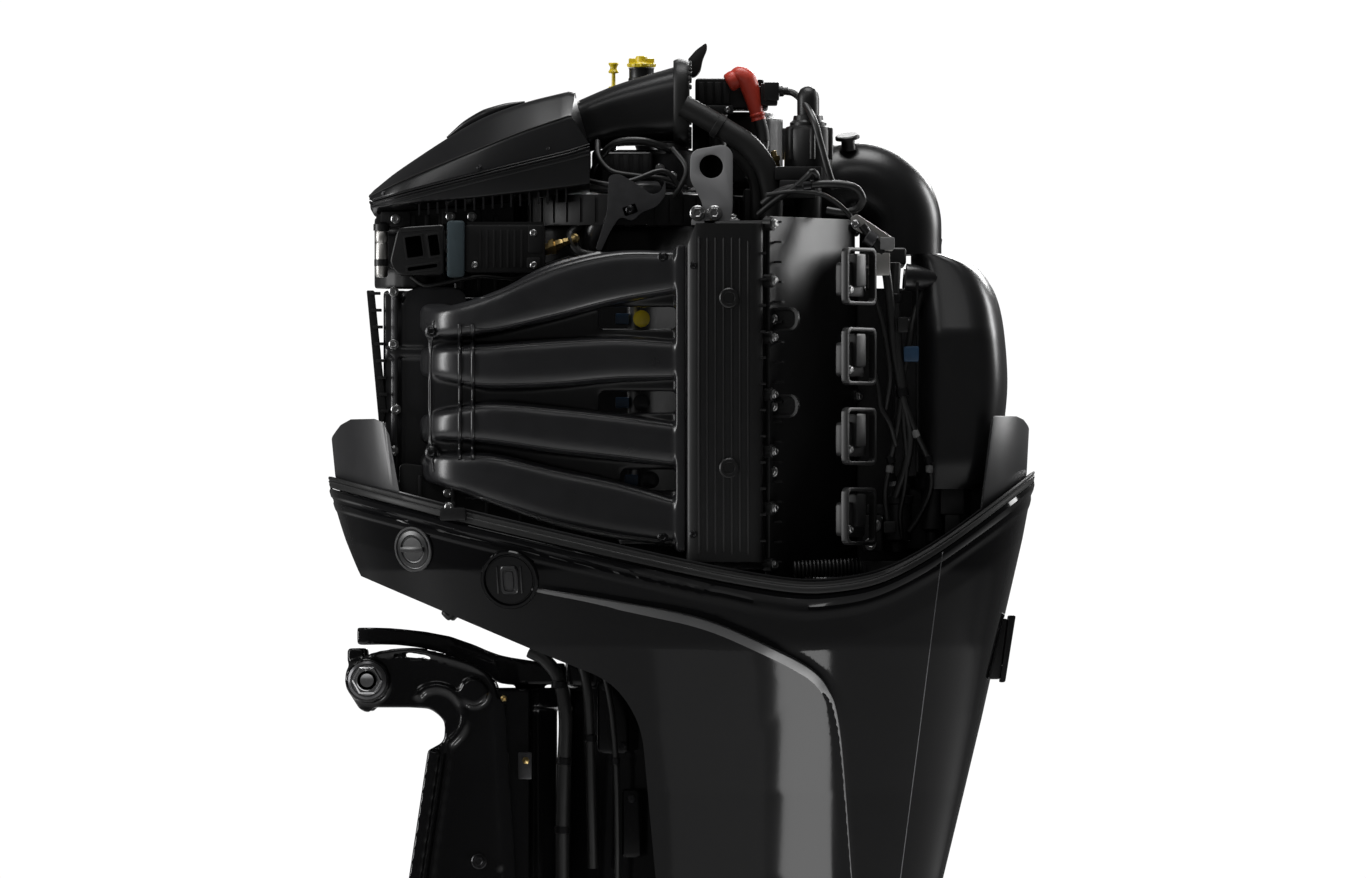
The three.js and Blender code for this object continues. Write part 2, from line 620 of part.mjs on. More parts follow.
// ---------------------------------------------------------------- propeller
const HUB_FRONT = TORPEDO_BACK + 6;
const HUB_BACK = 470;
const SHAFT_BACK = 506;
piece(gearcaseGroup, "propeller_shaft", join(
  rod("x", 14, -104, HUB_FRONT - 2, [0, 0]),
  rod("x", 12, HUB_FRONT - 2, SHAFT_BACK, [0, 0]),
), "steel");
const BLADES = 4;
const BLADE_TIP = 192;
const BLADE_PITCH = 430;
function blade(turn) {
  const middle = (HUB_FRONT + HUB_BACK) / 2;
  const sections = [44, 80, 125, 165, BLADE_TIP].map((radius) => {
    const share = (radius - 44) / (BLADE_TIP - 44);
    const half = 78 * Math.sqrt(Math.max(0.12, 1 - share ** 3.2)) * (0.86 + 0.3 * share);
    const slope = Math.atan(BLADE_PITCH / (2 * Math.PI * radius));
    const thick = mix(6.5, 2.2, share);
    const profile = [[-1, 0], [-0.5, 0.8], [0.2, 1], [1, 0], [0.2, -0.6], [-0.5, -0.5]];
    return profile.map(([chord, lift]) => {
      const around = half * chord * Math.cos(slope) - lift * thick * Math.sin(slope) + 26 * share;
      const along = half * chord * Math.sin(slope) + lift * thick * Math.cos(slope);
      const angle = turn + around / radius;
      return [middle + along + 10 * share, radius * Math.cos(angle), radius * Math.sin(angle)];
    });
  });
  return loft(sections);
}
piece(gearcaseGroup, "propeller", join(
  turned("x", [
    [12.5, HUB_FRONT], [60, HUB_FRONT], [63, HUB_FRONT + 20], [60, HUB_BACK - 20],
    [66, HUB_BACK], [60, HUB_BACK], [40, HUB_BACK - 30], [30, HUB_BACK - 30],
    [30, HUB_BACK - 6], [12.5, HUB_BACK - 6],
  ], 20),
  ...Array.from({ length: BLADES }, (_, i) => blade((i * 2 * Math.PI) / BLADES)),
), "steel");
piece(gearcaseGroup, "propeller_nut", cut(
  join(
    rod("x", 20, HUB_BACK - 5, HUB_BACK + 16, [0, 0], 6),
    rod("x", 26, HUB_BACK - 5, HUB_BACK, [0, 0], 20),
  ),
  rod("x", 12.4, HUB_BACK - 10, HUB_BACK + 20, [0, 0], 16),
), "bright_metal");

// ---------------------------------------------------------------- rotating powertrain
piece(motor, "driveshaft", join(
  rod("z", 14, PROP_Z + 90, 300, [CRANK_X, 0], 16),
  rod("z", 9, PROP_Z + 40, PROP_Z + 100, [CRANK_X, 0], 16),
), "steel");
const BLOCK_BORE = 74;
const webHeights = BORE_HEIGHTS.map((z) => z - 36);
piece(motor, "crankshaft", cut(
  join(
    rod("z", 30, BLOCK_BOTTOM + 4, BLOCK_TOP + 9, [CRANK_X, 0], 16),
    ...webHeights.flatMap((z, i) => {
      const turn = (i * Math.PI) / 2;
      const at = [CRANK_X + 12 * Math.cos(turn), 12 * Math.sin(turn)];
      return [rod("z", 56, z - 10, z + 10, at)];
    }),
  ),
  rod("z", 14.4, BLOCK_BOTTOM, 302, [CRANK_X, 0], 16),
), "steel");
const FLYWHEEL = [BLOCK_TOP + 10, BLOCK_TOP + 30];
const RING_TEETH = 40;
const gearRim = new THREE.Shape();
for (let i = 0; i < RING_TEETH * 2; i++) {
  const turn = (Math.PI * (i + 0.5)) / RING_TEETH;
  const radius = i % 2 ? 144 : 150;
  const [x, y] = [radius * Math.cos(turn), radius * Math.sin(turn)];
  if (i === 0) gearRim.moveTo(x, y);
  else gearRim.lineTo(x, y);
}
piece(motor, "flywheel", join(
  prism("z", gearRim, FLYWHEEL[0], FLYWHEEL[0] + 12).translate(CRANK_X, 0, 0),
  rod("z", 134, FLYWHEEL[0], FLYWHEEL[1], [CRANK_X, 0], 32),
  rod("z", 40, FLYWHEEL[0], FLYWHEEL[1] + 12, [CRANK_X, 0], 20),
), "steel");




// ---------------------------------------------------------------- engine block and heads
// A prism modelled about one cylinder bank: d runs along the bores from the crankshaft, and w
// across them, outwards. It stands on the engine between two heights.
const bankPrism = (side, corners, from, to) =>
  prism("z", corners.map(([d, w, radius]) => [d, side * w, radius]), from, to)
    .rotateZ(side * BANK_ANGLE).translate(CRANK_X, 0, 0);
const DECK_D = 206; // distance from the crankshaft to the head joint
const COVER_D = 287; // and to the valve cover joint
const HEAD_TOP = 645;
const bothSides = [PORT, STARBOARD];
const crankcase = prism("z", [
  [130, -80, 30], [130, 80, 30], [180, 108, 20], [310, 108, 20], [372, 60, 20], [372, -60, 20],
  [310, -108, 20], [180, -108, 20],
], BLOCK_BOTTOM, BLOCK_TOP);
const bankBlocks = bothSides.map((side) => bankPrism(side, [
  [40, -75], [DECK_D - GAP, -75], [DECK_D - GAP, 75], [40, 75],
], BLOCK_BOTTOM, BLOCK_TOP));
piece(motor, "engine_block", cut(
  join(crankcase, ...bankBlocks),
  rod("z", BLOCK_BORE, BLOCK_BOTTOM - 5, BLOCK_TOP + 5, [CRANK_X, 0], 24),
), "cast_black");

for (const side of bothSides) {
  piece(motor, `${sideName(side)}_cylinder_head`, bankPrism(side, [
    [DECK_D, -100, 8], [DECK_D, 116, 8], [COVER_D - GAP, 108, 8], [COVER_D - GAP, -95, 8],
  ], 190, HEAD_TOP), "cast_black");
  const cover = bankPrism(side, [
    [COVER_D, -95, 8], [COVER_D, 112, 2], [COVER_D + 12, 112, 2], [COVER_D + 16, 105, 2],
    [334, 105, 12], [388, 92, 24], [395, -70, 20], [350, -95, 20],
  ], 185, 651);
  const coilPockets = BORE_HEIGHTS.map((z) =>
    bankPrism(side, [[368, 16], [420, 16], [420, 84], [368, 84]], z - 33, z + 36));
  piece(motor, `${sideName(side)}_valve_cover`, cut(cover, ...coilPockets), "moulded_black");
}

// ---------------------------------------------------------------- intake
// Each runner leaves the plenum sideways, turns aft and spreads to its own cylinder:
// [height, half height] at every station of RUNNER_PATH.
const RUNNER_PATH = [[6, 129], [6, 186], [28, 226], [80, 240], [160, 245], [239, 247], [320, 250]];
const RUNNER_HALF_WIDTH = [22, 22, 25, 28, 28, 27, 25];
const RUNNERS = [
  [[517, 19], [517, 19], [513, 20], [525, 25], [551, 34], [570, 33], [577, 26]],
  [[461, 19], [461, 19], [459, 22], [455, 28], [459, 30], [464, 28], [463, 25]],
  [[374, 19], [374, 19], [379, 19], [381, 26], [372, 29], [363, 29], [353, 28]],
  [[324, 19], [324, 19], [319, 22], [308, 32], [285, 37], [268, 37], [252, 30]],
];
function runner(side, stations) {
  const last = RUNNER_PATH.length - 1;
  return loft(RUNNER_PATH.map(([x, y], i) => {
    const [ax, ay] = RUNNER_PATH[Math.max(i - 1, 0)];
    const [bx, by] = RUNNER_PATH[Math.min(i + 1, last)];
    const across = new THREE.Vector2(ay - by, bx - ax).setLength(RUNNER_HALF_WIDTH[i]);
    const [z, half] = stations[i];
    return ring([x, side * y, z], [across.x, side * across.y, 0], [0, 0, half], 2.4, 8);
  }));
}
const PLENUM_SIDE = 128;
const MANIFOLD_WEB = [219, 226];
const MANIFOLD_BACK = 329.5;
for (const side of bothSides) {
  const span = (a, b) => (side === PORT ? [-b, -a] : [a, b]);
  const web = prism("y", [
    [-6, 306, 20], [-6, 522, 20], [60, 538, 40], [150, 590, 40], [230, 606, 20], [320, 606],
    [320, 219], [230, 232, 20], [80, 274, 40],
  ], ...span(...MANIFOLD_WEB));
  const flange = box(318, MANIFOLD_BACK, ...span(208, 278), 213, 610);
  const openings = [[213, 504, 530], [220, 395, 422], [244, 294, 320]].map(([x, low, high]) =>
    box(x, 316, ...span(200, 300), low, high));
  piece(motor, `${sideName(side)}_intake_manifold`, join(
    cut(join(web, flange), ...openings),
    ...RUNNERS.map((stations) => runner(side, stations)),
  ), "moulded_black");

  const railPlan = [
    [330, 212, 2], [360, 212, 4], [430, 255, 4], [430, 264, 4], [420, 273, 8], [345, 285, 10],
    [330, 278, 6],
  ].map(([x, y, radius]) => [x, side * y, radius]);
  const railSide = prism("y", [[325, 200], [325, 606], [342, 640], [440, 640], [440, 200]],
    ...span(190, 300));
  piece(motor, `${sideName(side)}_rail_cover`, common(prism("z", railPlan, 200, 641), railSide),
    "moulded_black");
}
const THROTTLE_X = -25;
const THROTTLE_Z = [561, 654];
const THROTTLE_BORE = 46;
const plenum = join(
  prism("y", [[-40, 300, 20], [-40, 560, 20], [46, 560, 20], [46, 300, 20]],
    -PLENUM_SIDE, PLENUM_SIDE),
  box(-66, -38, -118, 118, 306, 556),
  box(40, 129.5, -40, 40, 400, 440),
);
piece(motor, "intake_plenum", cut(plenum, rod("z", 44, 480, 565, [THROTTLE_X + 8, 0])),
  "moulded_black");
piece(motor, "throttle_body", cut(
  join(
    rod("z", 55, ...THROTTLE_Z, [THROTTLE_X, 0], 24),
    box(THROTTLE_X - 40, THROTTLE_X + 40, -75, -40, 585, 630),
  ),
  rod("z", THROTTLE_BORE, THROTTLE_Z[0] - 5, THROTTLE_Z[1] + 5, [THROTTLE_X, 0], 24),
), "bright_metal");
const THROTTLE_AXIS_Z = 606;
const throttlePlate = piece(motor, "throttle_plate",
  rod("z", THROTTLE_BORE - 1, -1.5, 1.5, [0, 0], 24), "steel");
throttlePlate.position.set(THROTTLE_X, 0, THROTTLE_AXIS_Z);

// ---------------------------------------------------------------- air box over the throttle
// Stations along the box: [x, underside, seam, crease, crest, half width].
const AIR_BOX = [
  [-80, 657, 672, 680, 687, 104],
  [-40, 661, 682, 698, 717, 132],
  [49, 668, 704, 736, 775, 152],
  [114, 675, 720, 762, 801, 158],
  [176, 682, 735, 783, 817, 160],
];
const AIR_BOX_BACK = 204;
const baseRing = (x, low, high, half) => [
  [x, -half + 4, high], [x, -half + 22, low], [x, half - 22, low], [x, half - 4, high],
];
piece(motor, "air_box_base", loft([
  ...AIR_BOX.map(([x, under, seam, , , half]) => baseRing(x, under, seam - GAP, half)),
  baseRing(AIR_BOX_BACK, 686, 742 - GAP, 160),
]), "satin_black");
const lidRing = (seamX, seam, creaseX, crease, crestX, crest, half) => [
  [seamX, -half, seam], [creaseX, -half + 6, crease], [crestX, -half + 52, crest],
  [crestX, half - 52, crest], [creaseX, half - 6, crease], [seamX, half, seam],
];
piece(motor, "air_box_lid", loft([
  ...AIR_BOX.slice(0, -1).map(([x, , seam, crease, crest, half]) =>
    lidRing(x, seam, x, crease, x, crest, half)),
  lidRing(AIR_BOX_BACK, 742, 179, 782, 184, 815, 160),
]), "moulded_black");
// The trunk that carries air to the box flares to an open mouth facing aft.
function trunk(inset, start, end) {
  return loft([
    [[205 + start, 746], [189 + start, 806], 84],
    [[236, 748], [228, 824], 88],
    [[280, 750], [276, 840], 96],
    [[321 + end, 752], [321 + end, 853], 104],
  ].map(([[x0, z0], [x1, z1], half]) => {
    const middle = [(x0 + x1) / 2, 0, (z0 + z1) / 2];
    const up = [(x1 - x0) / 2, 0, (z1 - z0) / 2 - inset];
    return ring(middle, [0, half - inset, 0], up, 3, 12);
  }));
}
piece(motor, "air_duct", cut(trunk(0, 2, 0), trunk(4, 16, 5)), "satin_black");

// ---------------------------------------------------------------- fittings on the powerhead
piece(motor, "engine_control_unit", prism("y", [
  [40, 577, 4], [40, 642, 4], [147, 642, 4], [147, 577, 4],
], -165, -125), "moulded_black");
piece(motor, "relay_box", prism("y", [
  [-58, 590, 8], [-46, 637, 8], [22, 641, 4], [22, 574, 4], [-48, 574, 6],
], -172, -82), "moulded_black");

piece(motor, "lifting_eye", cut(
  join(
    prism("y", [
      [333, 716, 18], [342, 740, 10], [372, 748, 10], [402, 734, 10], [403, 706, 10],
      [387, BLOCK_TOP + GAP], [337, BLOCK_TOP + GAP],
    ], -160, -148),
    box(337, 387, -160, -128, BLOCK_TOP + GAP, BLOCK_TOP + 10),
  ),
  rod("y", 15, -165, -145, [368, 716]),
), "bracket_grey");
const ALTERNATOR = [398, 66];
piece(motor, "alternator", join(
  rod("z", 60, 700, 786, ALTERNATOR, 24),
  rod("z", 48, 692, 794, ALTERNATOR, 24),
  rod("z", 26, 684, 700, ALTERNATOR),
  box(412, 430, 44, 96, BLOCK_TOP + GAP, 704),
), "cast_black");
piece(motor, "fuse_box", join(
  prism("y", [[342, 800, 4], [342, 837, 4], [440, 837, 4], [440, 797, 4], [352, 797, 4]], -44, 92),
  box(366, 420, -30, 80, 794 + GAP, 800),
), "moulded_black");
piece(motor, "terminal_boot", join(
  hose([[399, -60, 834], [411, -60, 829], [417, -60, 816], [424, -60, 784]], 10, 8, 6),
  rod("z", 13, 822, 845, [398, -60], 12),
), "red");
piece(motor, "breather_hose", hose([
  [332, -112, 792], [374, -112, 763], [412, -112, 742], [437, -112, 710], [443, -112, HEAD_TOP + 3],
], 13, 10, 10), "rubber_black");

const FILLER = [271, 150];
piece(motor, "oil_filler_neck", join(
  hose([
    [...FILLER, 846], [...FILLER, 790], [284, 160, 740], [350, 188, 704], [420, 200, 690],
    [438, 204, HEAD_TOP + 8],
  ], 13, 8, 10),
  rod("z", 17, 832, 856, FILLER),
), "moulded_black");
piece(motor, "oil_filler_cap", join(
  rod("z", 18, 857, 864, FILLER),
  box(FILLER[0] - 14, FILLER[0] + 14, FILLER[1] - 3, FILLER[1] + 3, 862, 872),
), "yellow");
const DIPSTICK = [234, 166];
piece(motor, "dipstick_tube", cut(
  join(
    rod("z", 6, 520, 822, DIPSTICK, 10),
    hose([[...DIPSTICK, 524], [234, 150, 480], [234, 117, 440]], 6, 8, 4),
  ),
  rod("z", 3.6, 540, 830, DIPSTICK, 10),
), "steel");
piece(motor, "dipstick", join(
  rod("z", 2.6, 560, 845, DIPSTICK, 8),
  rod("z", 6.5, 823, 832, DIPSTICK, 12),
  box(DIPSTICK[0] - 4, DIPSTICK[0] + 4, DIPSTICK[1] - 9, DIPSTICK[1] + 9, 840, 863),
), "yellow");

// ---------------------------------------------------------------- aft end of the powerhead
const ELBOW = { x: 554, z: 642, bend: 58, bore: 54 };
const elbowPoints = [132, 108, 82, 56, 28, 0].map((degrees) => {
  const turn = THREE.MathUtils.degToRad(degrees);
  return [ELBOW.x + ELBOW.bend * Math.cos(turn), 0, ELBOW.z + ELBOW.bend * Math.sin(turn)];
});
piece(motor, "rear_air_duct", hose([...elbowPoints, [612, 0, 606]], ELBOW.bore, 14, 9),
  "moulded_black");
piece(motor, "vent_canister", turned("z", [
  [0, HEAD_TOP + 1], [18, HEAD_TOP + 1], [18, 700], [31, 706], [31, 768], [24, 776], [24, 790],
  [15, 796], [13, 814], [7, 823], [0, 824],
], 14).translate(490, -86, 0), "moulded_black");
// [height, back] of the tapering cover over the aft end.
const REAR_COVER = [[310, 730], [430, 752], [500, 748], [560, 735], [590, 712], [603, 672]];
const REAR_COVER_FRONT = 626;
piece(motor, "rear_cover", join(
  loft(REAR_COVER.map(([z, back]) => {
    const half = mix(162, 122, Math.max(0, (z - 500) / 103));
    const middle = [(REAR_COVER_FRONT + back) / 2, 0, z];
    return ring(middle, [(back - REAR_COVER_FRONT) / 2, 0, 0], [0, half, 0], 3, 18);
  })),
  box(412, 640, -12, 12, 440, 470),
), "satin_black");

motor.add(mountGroup);
export default motor;
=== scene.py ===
"""Looks for the V8 outboard motor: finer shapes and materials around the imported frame.

Lengths in this script are millimetres in the frame's axes; add() turns them into metres.
"""

import math

import bmesh
import bpy
import numpy as np
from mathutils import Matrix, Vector
from mathutils.bvhtree import BVHTree


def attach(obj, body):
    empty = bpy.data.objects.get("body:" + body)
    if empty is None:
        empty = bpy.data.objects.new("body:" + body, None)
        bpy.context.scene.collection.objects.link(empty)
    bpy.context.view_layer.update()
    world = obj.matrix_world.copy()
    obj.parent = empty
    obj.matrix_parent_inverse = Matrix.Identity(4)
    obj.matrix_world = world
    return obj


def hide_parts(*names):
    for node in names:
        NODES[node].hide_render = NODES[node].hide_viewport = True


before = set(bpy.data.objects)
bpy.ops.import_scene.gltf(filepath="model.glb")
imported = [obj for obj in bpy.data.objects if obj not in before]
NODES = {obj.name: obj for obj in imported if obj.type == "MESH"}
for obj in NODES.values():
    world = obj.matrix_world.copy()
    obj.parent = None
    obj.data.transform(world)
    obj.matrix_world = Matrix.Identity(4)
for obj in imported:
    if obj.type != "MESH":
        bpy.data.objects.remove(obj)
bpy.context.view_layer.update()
SIDES = ((-1, "port"), (1, "starboard"))
AFT, TO_PORT, UP = (1, 0, 0), (0, -1, 0), (0, 0, 1)

# ---------------------------------------------------------------- materials


def material(name, colour, rough, metal=0.0, spread=0.04, grain=0.0, grain_size=900.0,
             blotch=14.0, coat=0.0, tint=0.25, specular=0.5, relief=0.0, relief_size=60.0):
    """A surface with blotchy gloss, a slightly uneven colour, and a fine grain in relief."""
    mat = bpy.data.materials.new(name)
    mat.use_nodes = True
    tree = mat.node_tree
    shader = tree.nodes["Principled BSDF"]
    shader.inputs["Metallic"].default_value = metal
    shader.inputs["Coat Weight"].default_value = coat
    shader.inputs["Coat Roughness"].default_value = 0.06
    shader.inputs["Specular IOR Level"].default_value = specular
    coords = tree.nodes.new("ShaderNodeTexCoord")

    def noise(scale, detail):
        node = tree.nodes.new("ShaderNodeTexNoise")
        node.inputs["Scale"].default_value = scale
        node.inputs["Detail"].default_value = detail
        tree.links.new(coords.outputs["Object"], node.inputs["Vector"])
        return node

    cloud = noise(blotch, 5.0)
    ramp = tree.nodes.new("ShaderNodeMapRange")
    ramp.inputs["To Min"].default_value = max(0.02, rough - spread)
    ramp.inputs["To Max"].default_value = rough + spread
    tree.links.new(cloud.outputs["Fac"], ramp.inputs["Value"])
    tree.links.new(ramp.outputs["Result"], shader.inputs["Roughness"])
    mix = tree.nodes.new("ShaderNodeMix")
    mix.data_type = "RGBA"
    mix.inputs["A"].default_value = (*[c * (1 - tint) for c in colour], 1)
    mix.inputs["B"].default_value = (*[min(1, c * (1 + tint)) for c in colour], 1)
    tree.links.new(noise(blotch * 2.3, 4.0).outputs["Fac"], mix.inputs["Factor"])
    tree.links.new(mix.outputs["Result"], shader.inputs["Base Color"])
    below = None
    for size, strength, depth in ((relief_size, relief, 0.0006), (grain_size, grain, 0.0002)):
        if not strength:
            continue
        bump = tree.nodes.new("ShaderNodeBump")
        bump.inputs["Strength"].default_value = strength
        bump.inputs["Distance"].default_value = depth
        tree.links.new(noise(size, 3.0).outputs["Fac"], bump.inputs["Height"])
        if below:
            tree.links.new(below.outputs["Normal"], bump.inputs["Normal"])
        below = bump
    if below:
        tree.links.new(below.outputs["Normal"], shader.inputs["Normal"])
    return mat


M = {
    "gloss": material("cowl_paint", (0.0025, 0.0025, 0.0028), 0.08, spread=0.02, blotch=6,
                      specular=0.16, tint=0.15, relief=0.015, relief_size=220),
    # painted highlight: the crease bead's base colour is lighter than the cowl paint to stand in for
    # part of the crease highlight; its high specular catches the lamps for the rest
    "edge": material("crease_bead_painted_highlight", (0.03, 0.03, 0.031), 0.33, spread=0.05, blotch=10,
                     specular=1.0, tint=0.1, relief=0.01, relief_size=200),
    "leg": material("leg_paint", (0.003, 0.003, 0.0033), 0.14, spread=0.04, blotch=9,
                    specular=0.32, tint=0.2, relief=0.04, relief_size=160),
    "shell": material("shell_moulding", (0.006, 0.006, 0.0065), 0.3, spread=0.05, blotch=12,
                      grain=0.10, grain_size=1400, specular=0.45),
    "moulded": material("grained_moulding", (0.006, 0.006, 0.0062), 0.4, spread=0.05, blotch=16,
                        specular=0.4, grain=0.25, grain_size=1100, relief=0.05, relief_size=180),
    "satin": material("satin_casting", (0.011, 0.011, 0.012), 0.3, spread=0.07, blotch=22,
                      grain=0.15, grain_size=700, relief=0.10, relief_size=130),
    "cast": material("sand_casting", (0.008, 0.008, 0.0085), 0.45, specular=0.4, spread=0.1,
                     blotch=30, grain=0.35, grain_size=500, relief=0.3, relief_size=170),
    "rubber": material("rubber", (0.007, 0.007, 0.007), 0.5, specular=0.4, spread=0.08, blotch=20,
                       grain=0.3, grain_size=800),
    "steel": material("bare_steel", (0.46, 0.46, 0.47), 0.28, metal=1, spread=0.09, blotch=40,
                      grain=0.12, grain_size=900, tint=0.12),
    "polished": material("polished_steel", (0.56, 0.56, 0.57), 0.16, metal=1, spread=0.06,
                         blotch=25, tint=0.08, relief=0.02, relief_size=90),
    "alloy": material("bare_alloy", (0.5, 0.49, 0.47), 0.36, metal=1, spread=0.1, blotch=35,
                      grain=0.3, grain_size=600, tint=0.15),
    "liner": material("shroud_moulding", (0.018, 0.018, 0.019), 0.34, spread=0.06, blotch=12,
                      grain=0.12, grain_size=1200),
    "plate": material("coated_plate", (0.075, 0.075, 0.078), 0.34, metal=0.7, spread=0.07,
                      blotch=30, grain=0.15, grain_size=700),
    "grey": material("grey_coated_plate", (0.22, 0.22, 0.225), 0.5, spread=0.08, blotch=24,
                     grain=0.25, grain_size=700, tint=0.1),
    "bolt": material("zinc_bolt", (0.30, 0.30, 0.30), 0.33, metal=1, spread=0.1, blotch=80,
                     grain=0.15, grain_size=1200, tint=0.3),
    "dark_bolt": material("black_bolt", (0.02, 0.02, 0.021), 0.3, metal=0.8, spread=0.08,
                          blotch=80, tint=0.3),
    "brass": material("brass", (0.45, 0.33, 0.14), 0.32, metal=1, spread=0.08, blotch=60),
    "yellow": material("yellow_plastic", (0.62, 0.47, 0.015), 0.32, spread=0.06, blotch=40,
                       grain=0.08, tint=0.08),
    "red": material("red_rubber", (0.50, 0.045, 0.025), 0.4, spread=0.08, blotch=30,
                    grain=0.2, tint=0.12),
    "blue": material("blue_plastic", (0.012, 0.04, 0.085), 0.4, spread=0.06, blotch=60, tint=0.3),
    "slate": material("slate_plastic", (0.035, 0.052, 0.06), 0.42, spread=0.05, blotch=30,
                      grain=0.15, tint=0.12),
    "wire": material("wire_sleeve", (0.006, 0.006, 0.006), 0.4, spread=0.1, blotch=60,
                     grain=0.2, grain_size=600),
    "tape": material("pale_tape", (0.16, 0.16, 0.16), 0.5, spread=0.1, blotch=60),
}

# ---------------------------------------------------------------- making meshes


def in_scene(name, data):
    """A new object of the scene."""
    obj = bpy.data.objects.new(name, data)
    bpy.context.scene.collection.objects.link(obj)
    return obj


def raw(verts, faces):
    """A mesh from points in millimetres."""
    mesh = bpy.data.meshes.new("raw")
    mesh.from_pydata([[c / 1000 for c in v] for v in verts], [], [list(f) for f in faces])
    return mesh


def lists(mesh):
    """(points, faces) of a mesh, in millimetres."""
    return ([tuple(c * 1000 for c in v.co) for v in mesh.vertices],
            [tuple(p.vertices) for p in mesh.polygons])


def welded(mesh, outward=True):
    """The mesh with its double points joined and its faces turned outward."""
    bm = bmesh.new()
    bm.from_mesh(mesh)
    bmesh.ops.remove_doubles(bm, verts=bm.verts, dist=1e-6)
    if outward:
        bmesh.ops.recalc_face_normals(bm, faces=bm.faces)
    bm.to_mesh(mesh)
    bm.free()
    return mesh


def add(name, part, mat, sharp=32.0, hides=(), body="motor"):
    """A piece from one (points, faces) or a list of them; sharper edges than the angle stay."""
    mesh = raw(*(pooled(*part) if isinstance(part, list) else part))
    mesh.validate()
    return place(name, mesh, mat, sharp, hides, body)


def place(name, mesh, mat, sharp, hides, body):
    """A mesh on a body, in a finish, in place of the CAD node it hides."""
    mesh.name = name
    welded(mesh)
    mesh.polygons.foreach_set("use_smooth", [True] * len(mesh.polygons))
    mesh.set_sharp_from_angle(angle=math.radians(sharp))
    mesh.materials.clear()
    mesh.materials.append(M[mat])
    obj = in_scene(name, mesh)
    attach(obj, body)
    if hides:
        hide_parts(*hides)
    return obj


def applied(mesh, *modifiers):
    """The mesh after modifiers, each (type, {setting: value})."""
    obj = in_scene("working", mesh)
    for kind, settings in modifiers:
        modifier = obj.modifiers.new(kind, kind)
        for key, value in settings.items():
            setattr(modifier, key, value)
    bpy.context.view_layer.update()
    done = bpy.data.meshes.new_from_object(
        obj.evaluated_get(bpy.context.evaluated_depsgraph_get()))
    bpy.data.objects.remove(obj)
    return done


def pooled(*parts):
    """Several (points, faces) in one list of points and faces."""
    verts, faces = [], []
    for part_verts, part_faces in parts:
        start = len(verts)
        verts.extend([tuple(map(float, v)) for v in part_verts])
        faces.extend([tuple(i + start for i in f) for f in part_faces])
    return verts, faces


def bevelled(part, width, segments=2, angle=30.0):
    """(points, faces) with every edge sharper than the angle rounded."""
    mesh = raw(*part)
    bm = bmesh.new()
    bm.from_mesh(mesh)
    bmesh.ops.remove_doubles(bm, verts=bm.verts, dist=1e-6)
    bmesh.ops.recalc_face_normals(bm, faces=bm.faces)
    edges = [e for e in bm.edges
             if len(e.link_faces) == 2 and e.calc_face_angle(0) > math.radians(angle)]
    bmesh.ops.bevel(bm, geom=edges, offset=width / 1000, segments=segments, profile=0.6,
                    affect="EDGES", clamp_overlap=True)
    verts = [tuple(c * 1000 for c in v.co) for v in bm.verts]
    faces = [tuple(v.index for v in f.verts) for f in bm.faces]
    bm.free()
    bpy.data.meshes.remove(mesh)
    return verts, faces


def rounded(corners, steps=6):
    """Points of an outline whose corners [a, b, radius] are rounded."""
    points = []
    for i, corner in enumerate(corners):
        a, b, radius = (*corner, 0)[:3]
        here = np.array([a, b], float)
        back = np.array(corners[i - 1][:2], float) - here
        ahead = np.array(corners[(i + 1) % len(corners)][:2], float) - here
        reach = min(radius, 0.48 * np.linalg.norm(back), 0.48 * np.linalg.norm(ahead))
        if reach <= 0:
            points.append(tuple(here))
            continue
        start = here + back / np.linalg.norm(back) * reach
        end = here + ahead / np.linalg.norm(ahead) * reach
        for t in np.linspace(0, 1, steps + 1):
            points.append(tuple((1 - t) ** 2 * start + 2 * t * (1 - t) * here + t * t * end))
    return points


def prism(axis, corners, low, high, steps=6):
    """(points, faces) of a prism; the outline's coordinates are the other axes in X, Y, Z order."""
    outline = rounded(corners, steps)
    count = len(outline)
    order = {"x": lambda a, b, t: (t, a, b), "y": lambda a, b, t: (a, t, b),
             "z": lambda a, b, t: (a, b, t)}[axis]
    verts = [order(a, b, t) for t in (low, high) for a, b in outline]
    faces = [tuple(range(count)), tuple(reversed(range(count, 2 * count)))]
    faces += [(i, i + count, (i + 1) % count + count, (i + 1) % count) for i in range(count)]
    return verts, faces


def rect(a0, a1, b0, b1, radius=0):
    """The outline of a rectangle with rounded corners."""
    return [(a0, b0, radius), (a1, b0, radius), (a1, b1, radius), (a0, b1, radius)]


def block(x0, x1, y0, y1, z0, z1):
    """(points, faces) of a plain box."""
    return prism("z", rect(x0, x1, y0, y1), z0, z1)


def skin(rings, closed=True, caps=True):
    """(points, faces) through rings of the same number of points."""
    count = len(rings[0])
    verts = [tuple(p) for ring in rings for p in ring]
    faces = []
    around = count if closed else count - 1
    for r in range(len(rings) - 1):
        for i in range(around):
            j = (i + 1) % count
            faces.append((r * count + i, r * count + j, (r + 1) * count + j, (r + 1) * count + i))
    if caps and closed:
        last = (len(rings) - 1) * count
        faces += [tuple(reversed(range(count))), tuple(range(last, last + count))]
    return verts, faces


def level(z, front, back, half, squareness=2.4, count=96, grow=0.0):
    """An oval ring at one height, between its bow and stern ends."""
    return oval(((front + back) / 2, 0, z), ((back - front) / 2 + grow, 0, 0),
                (0, half + grow, 0), squareness, count)


def oval(centre, across, up, squareness=2.0, count=24):
    """Points of an ellipse or rounded box round a centre, in the plane of two axes."""
    turns = 2 * np.pi * (np.arange(count) + 0.5) / count
    power = 2 / squareness
    c = np.sign(np.cos(turns)) * np.abs(np.cos(turns)) ** power
    s = np.sign(np.sin(turns)) * np.abs(np.sin(turns)) ** power
    return (np.array(centre)[None] + np.outer(c, across) + np.outer(s, up)).tolist()


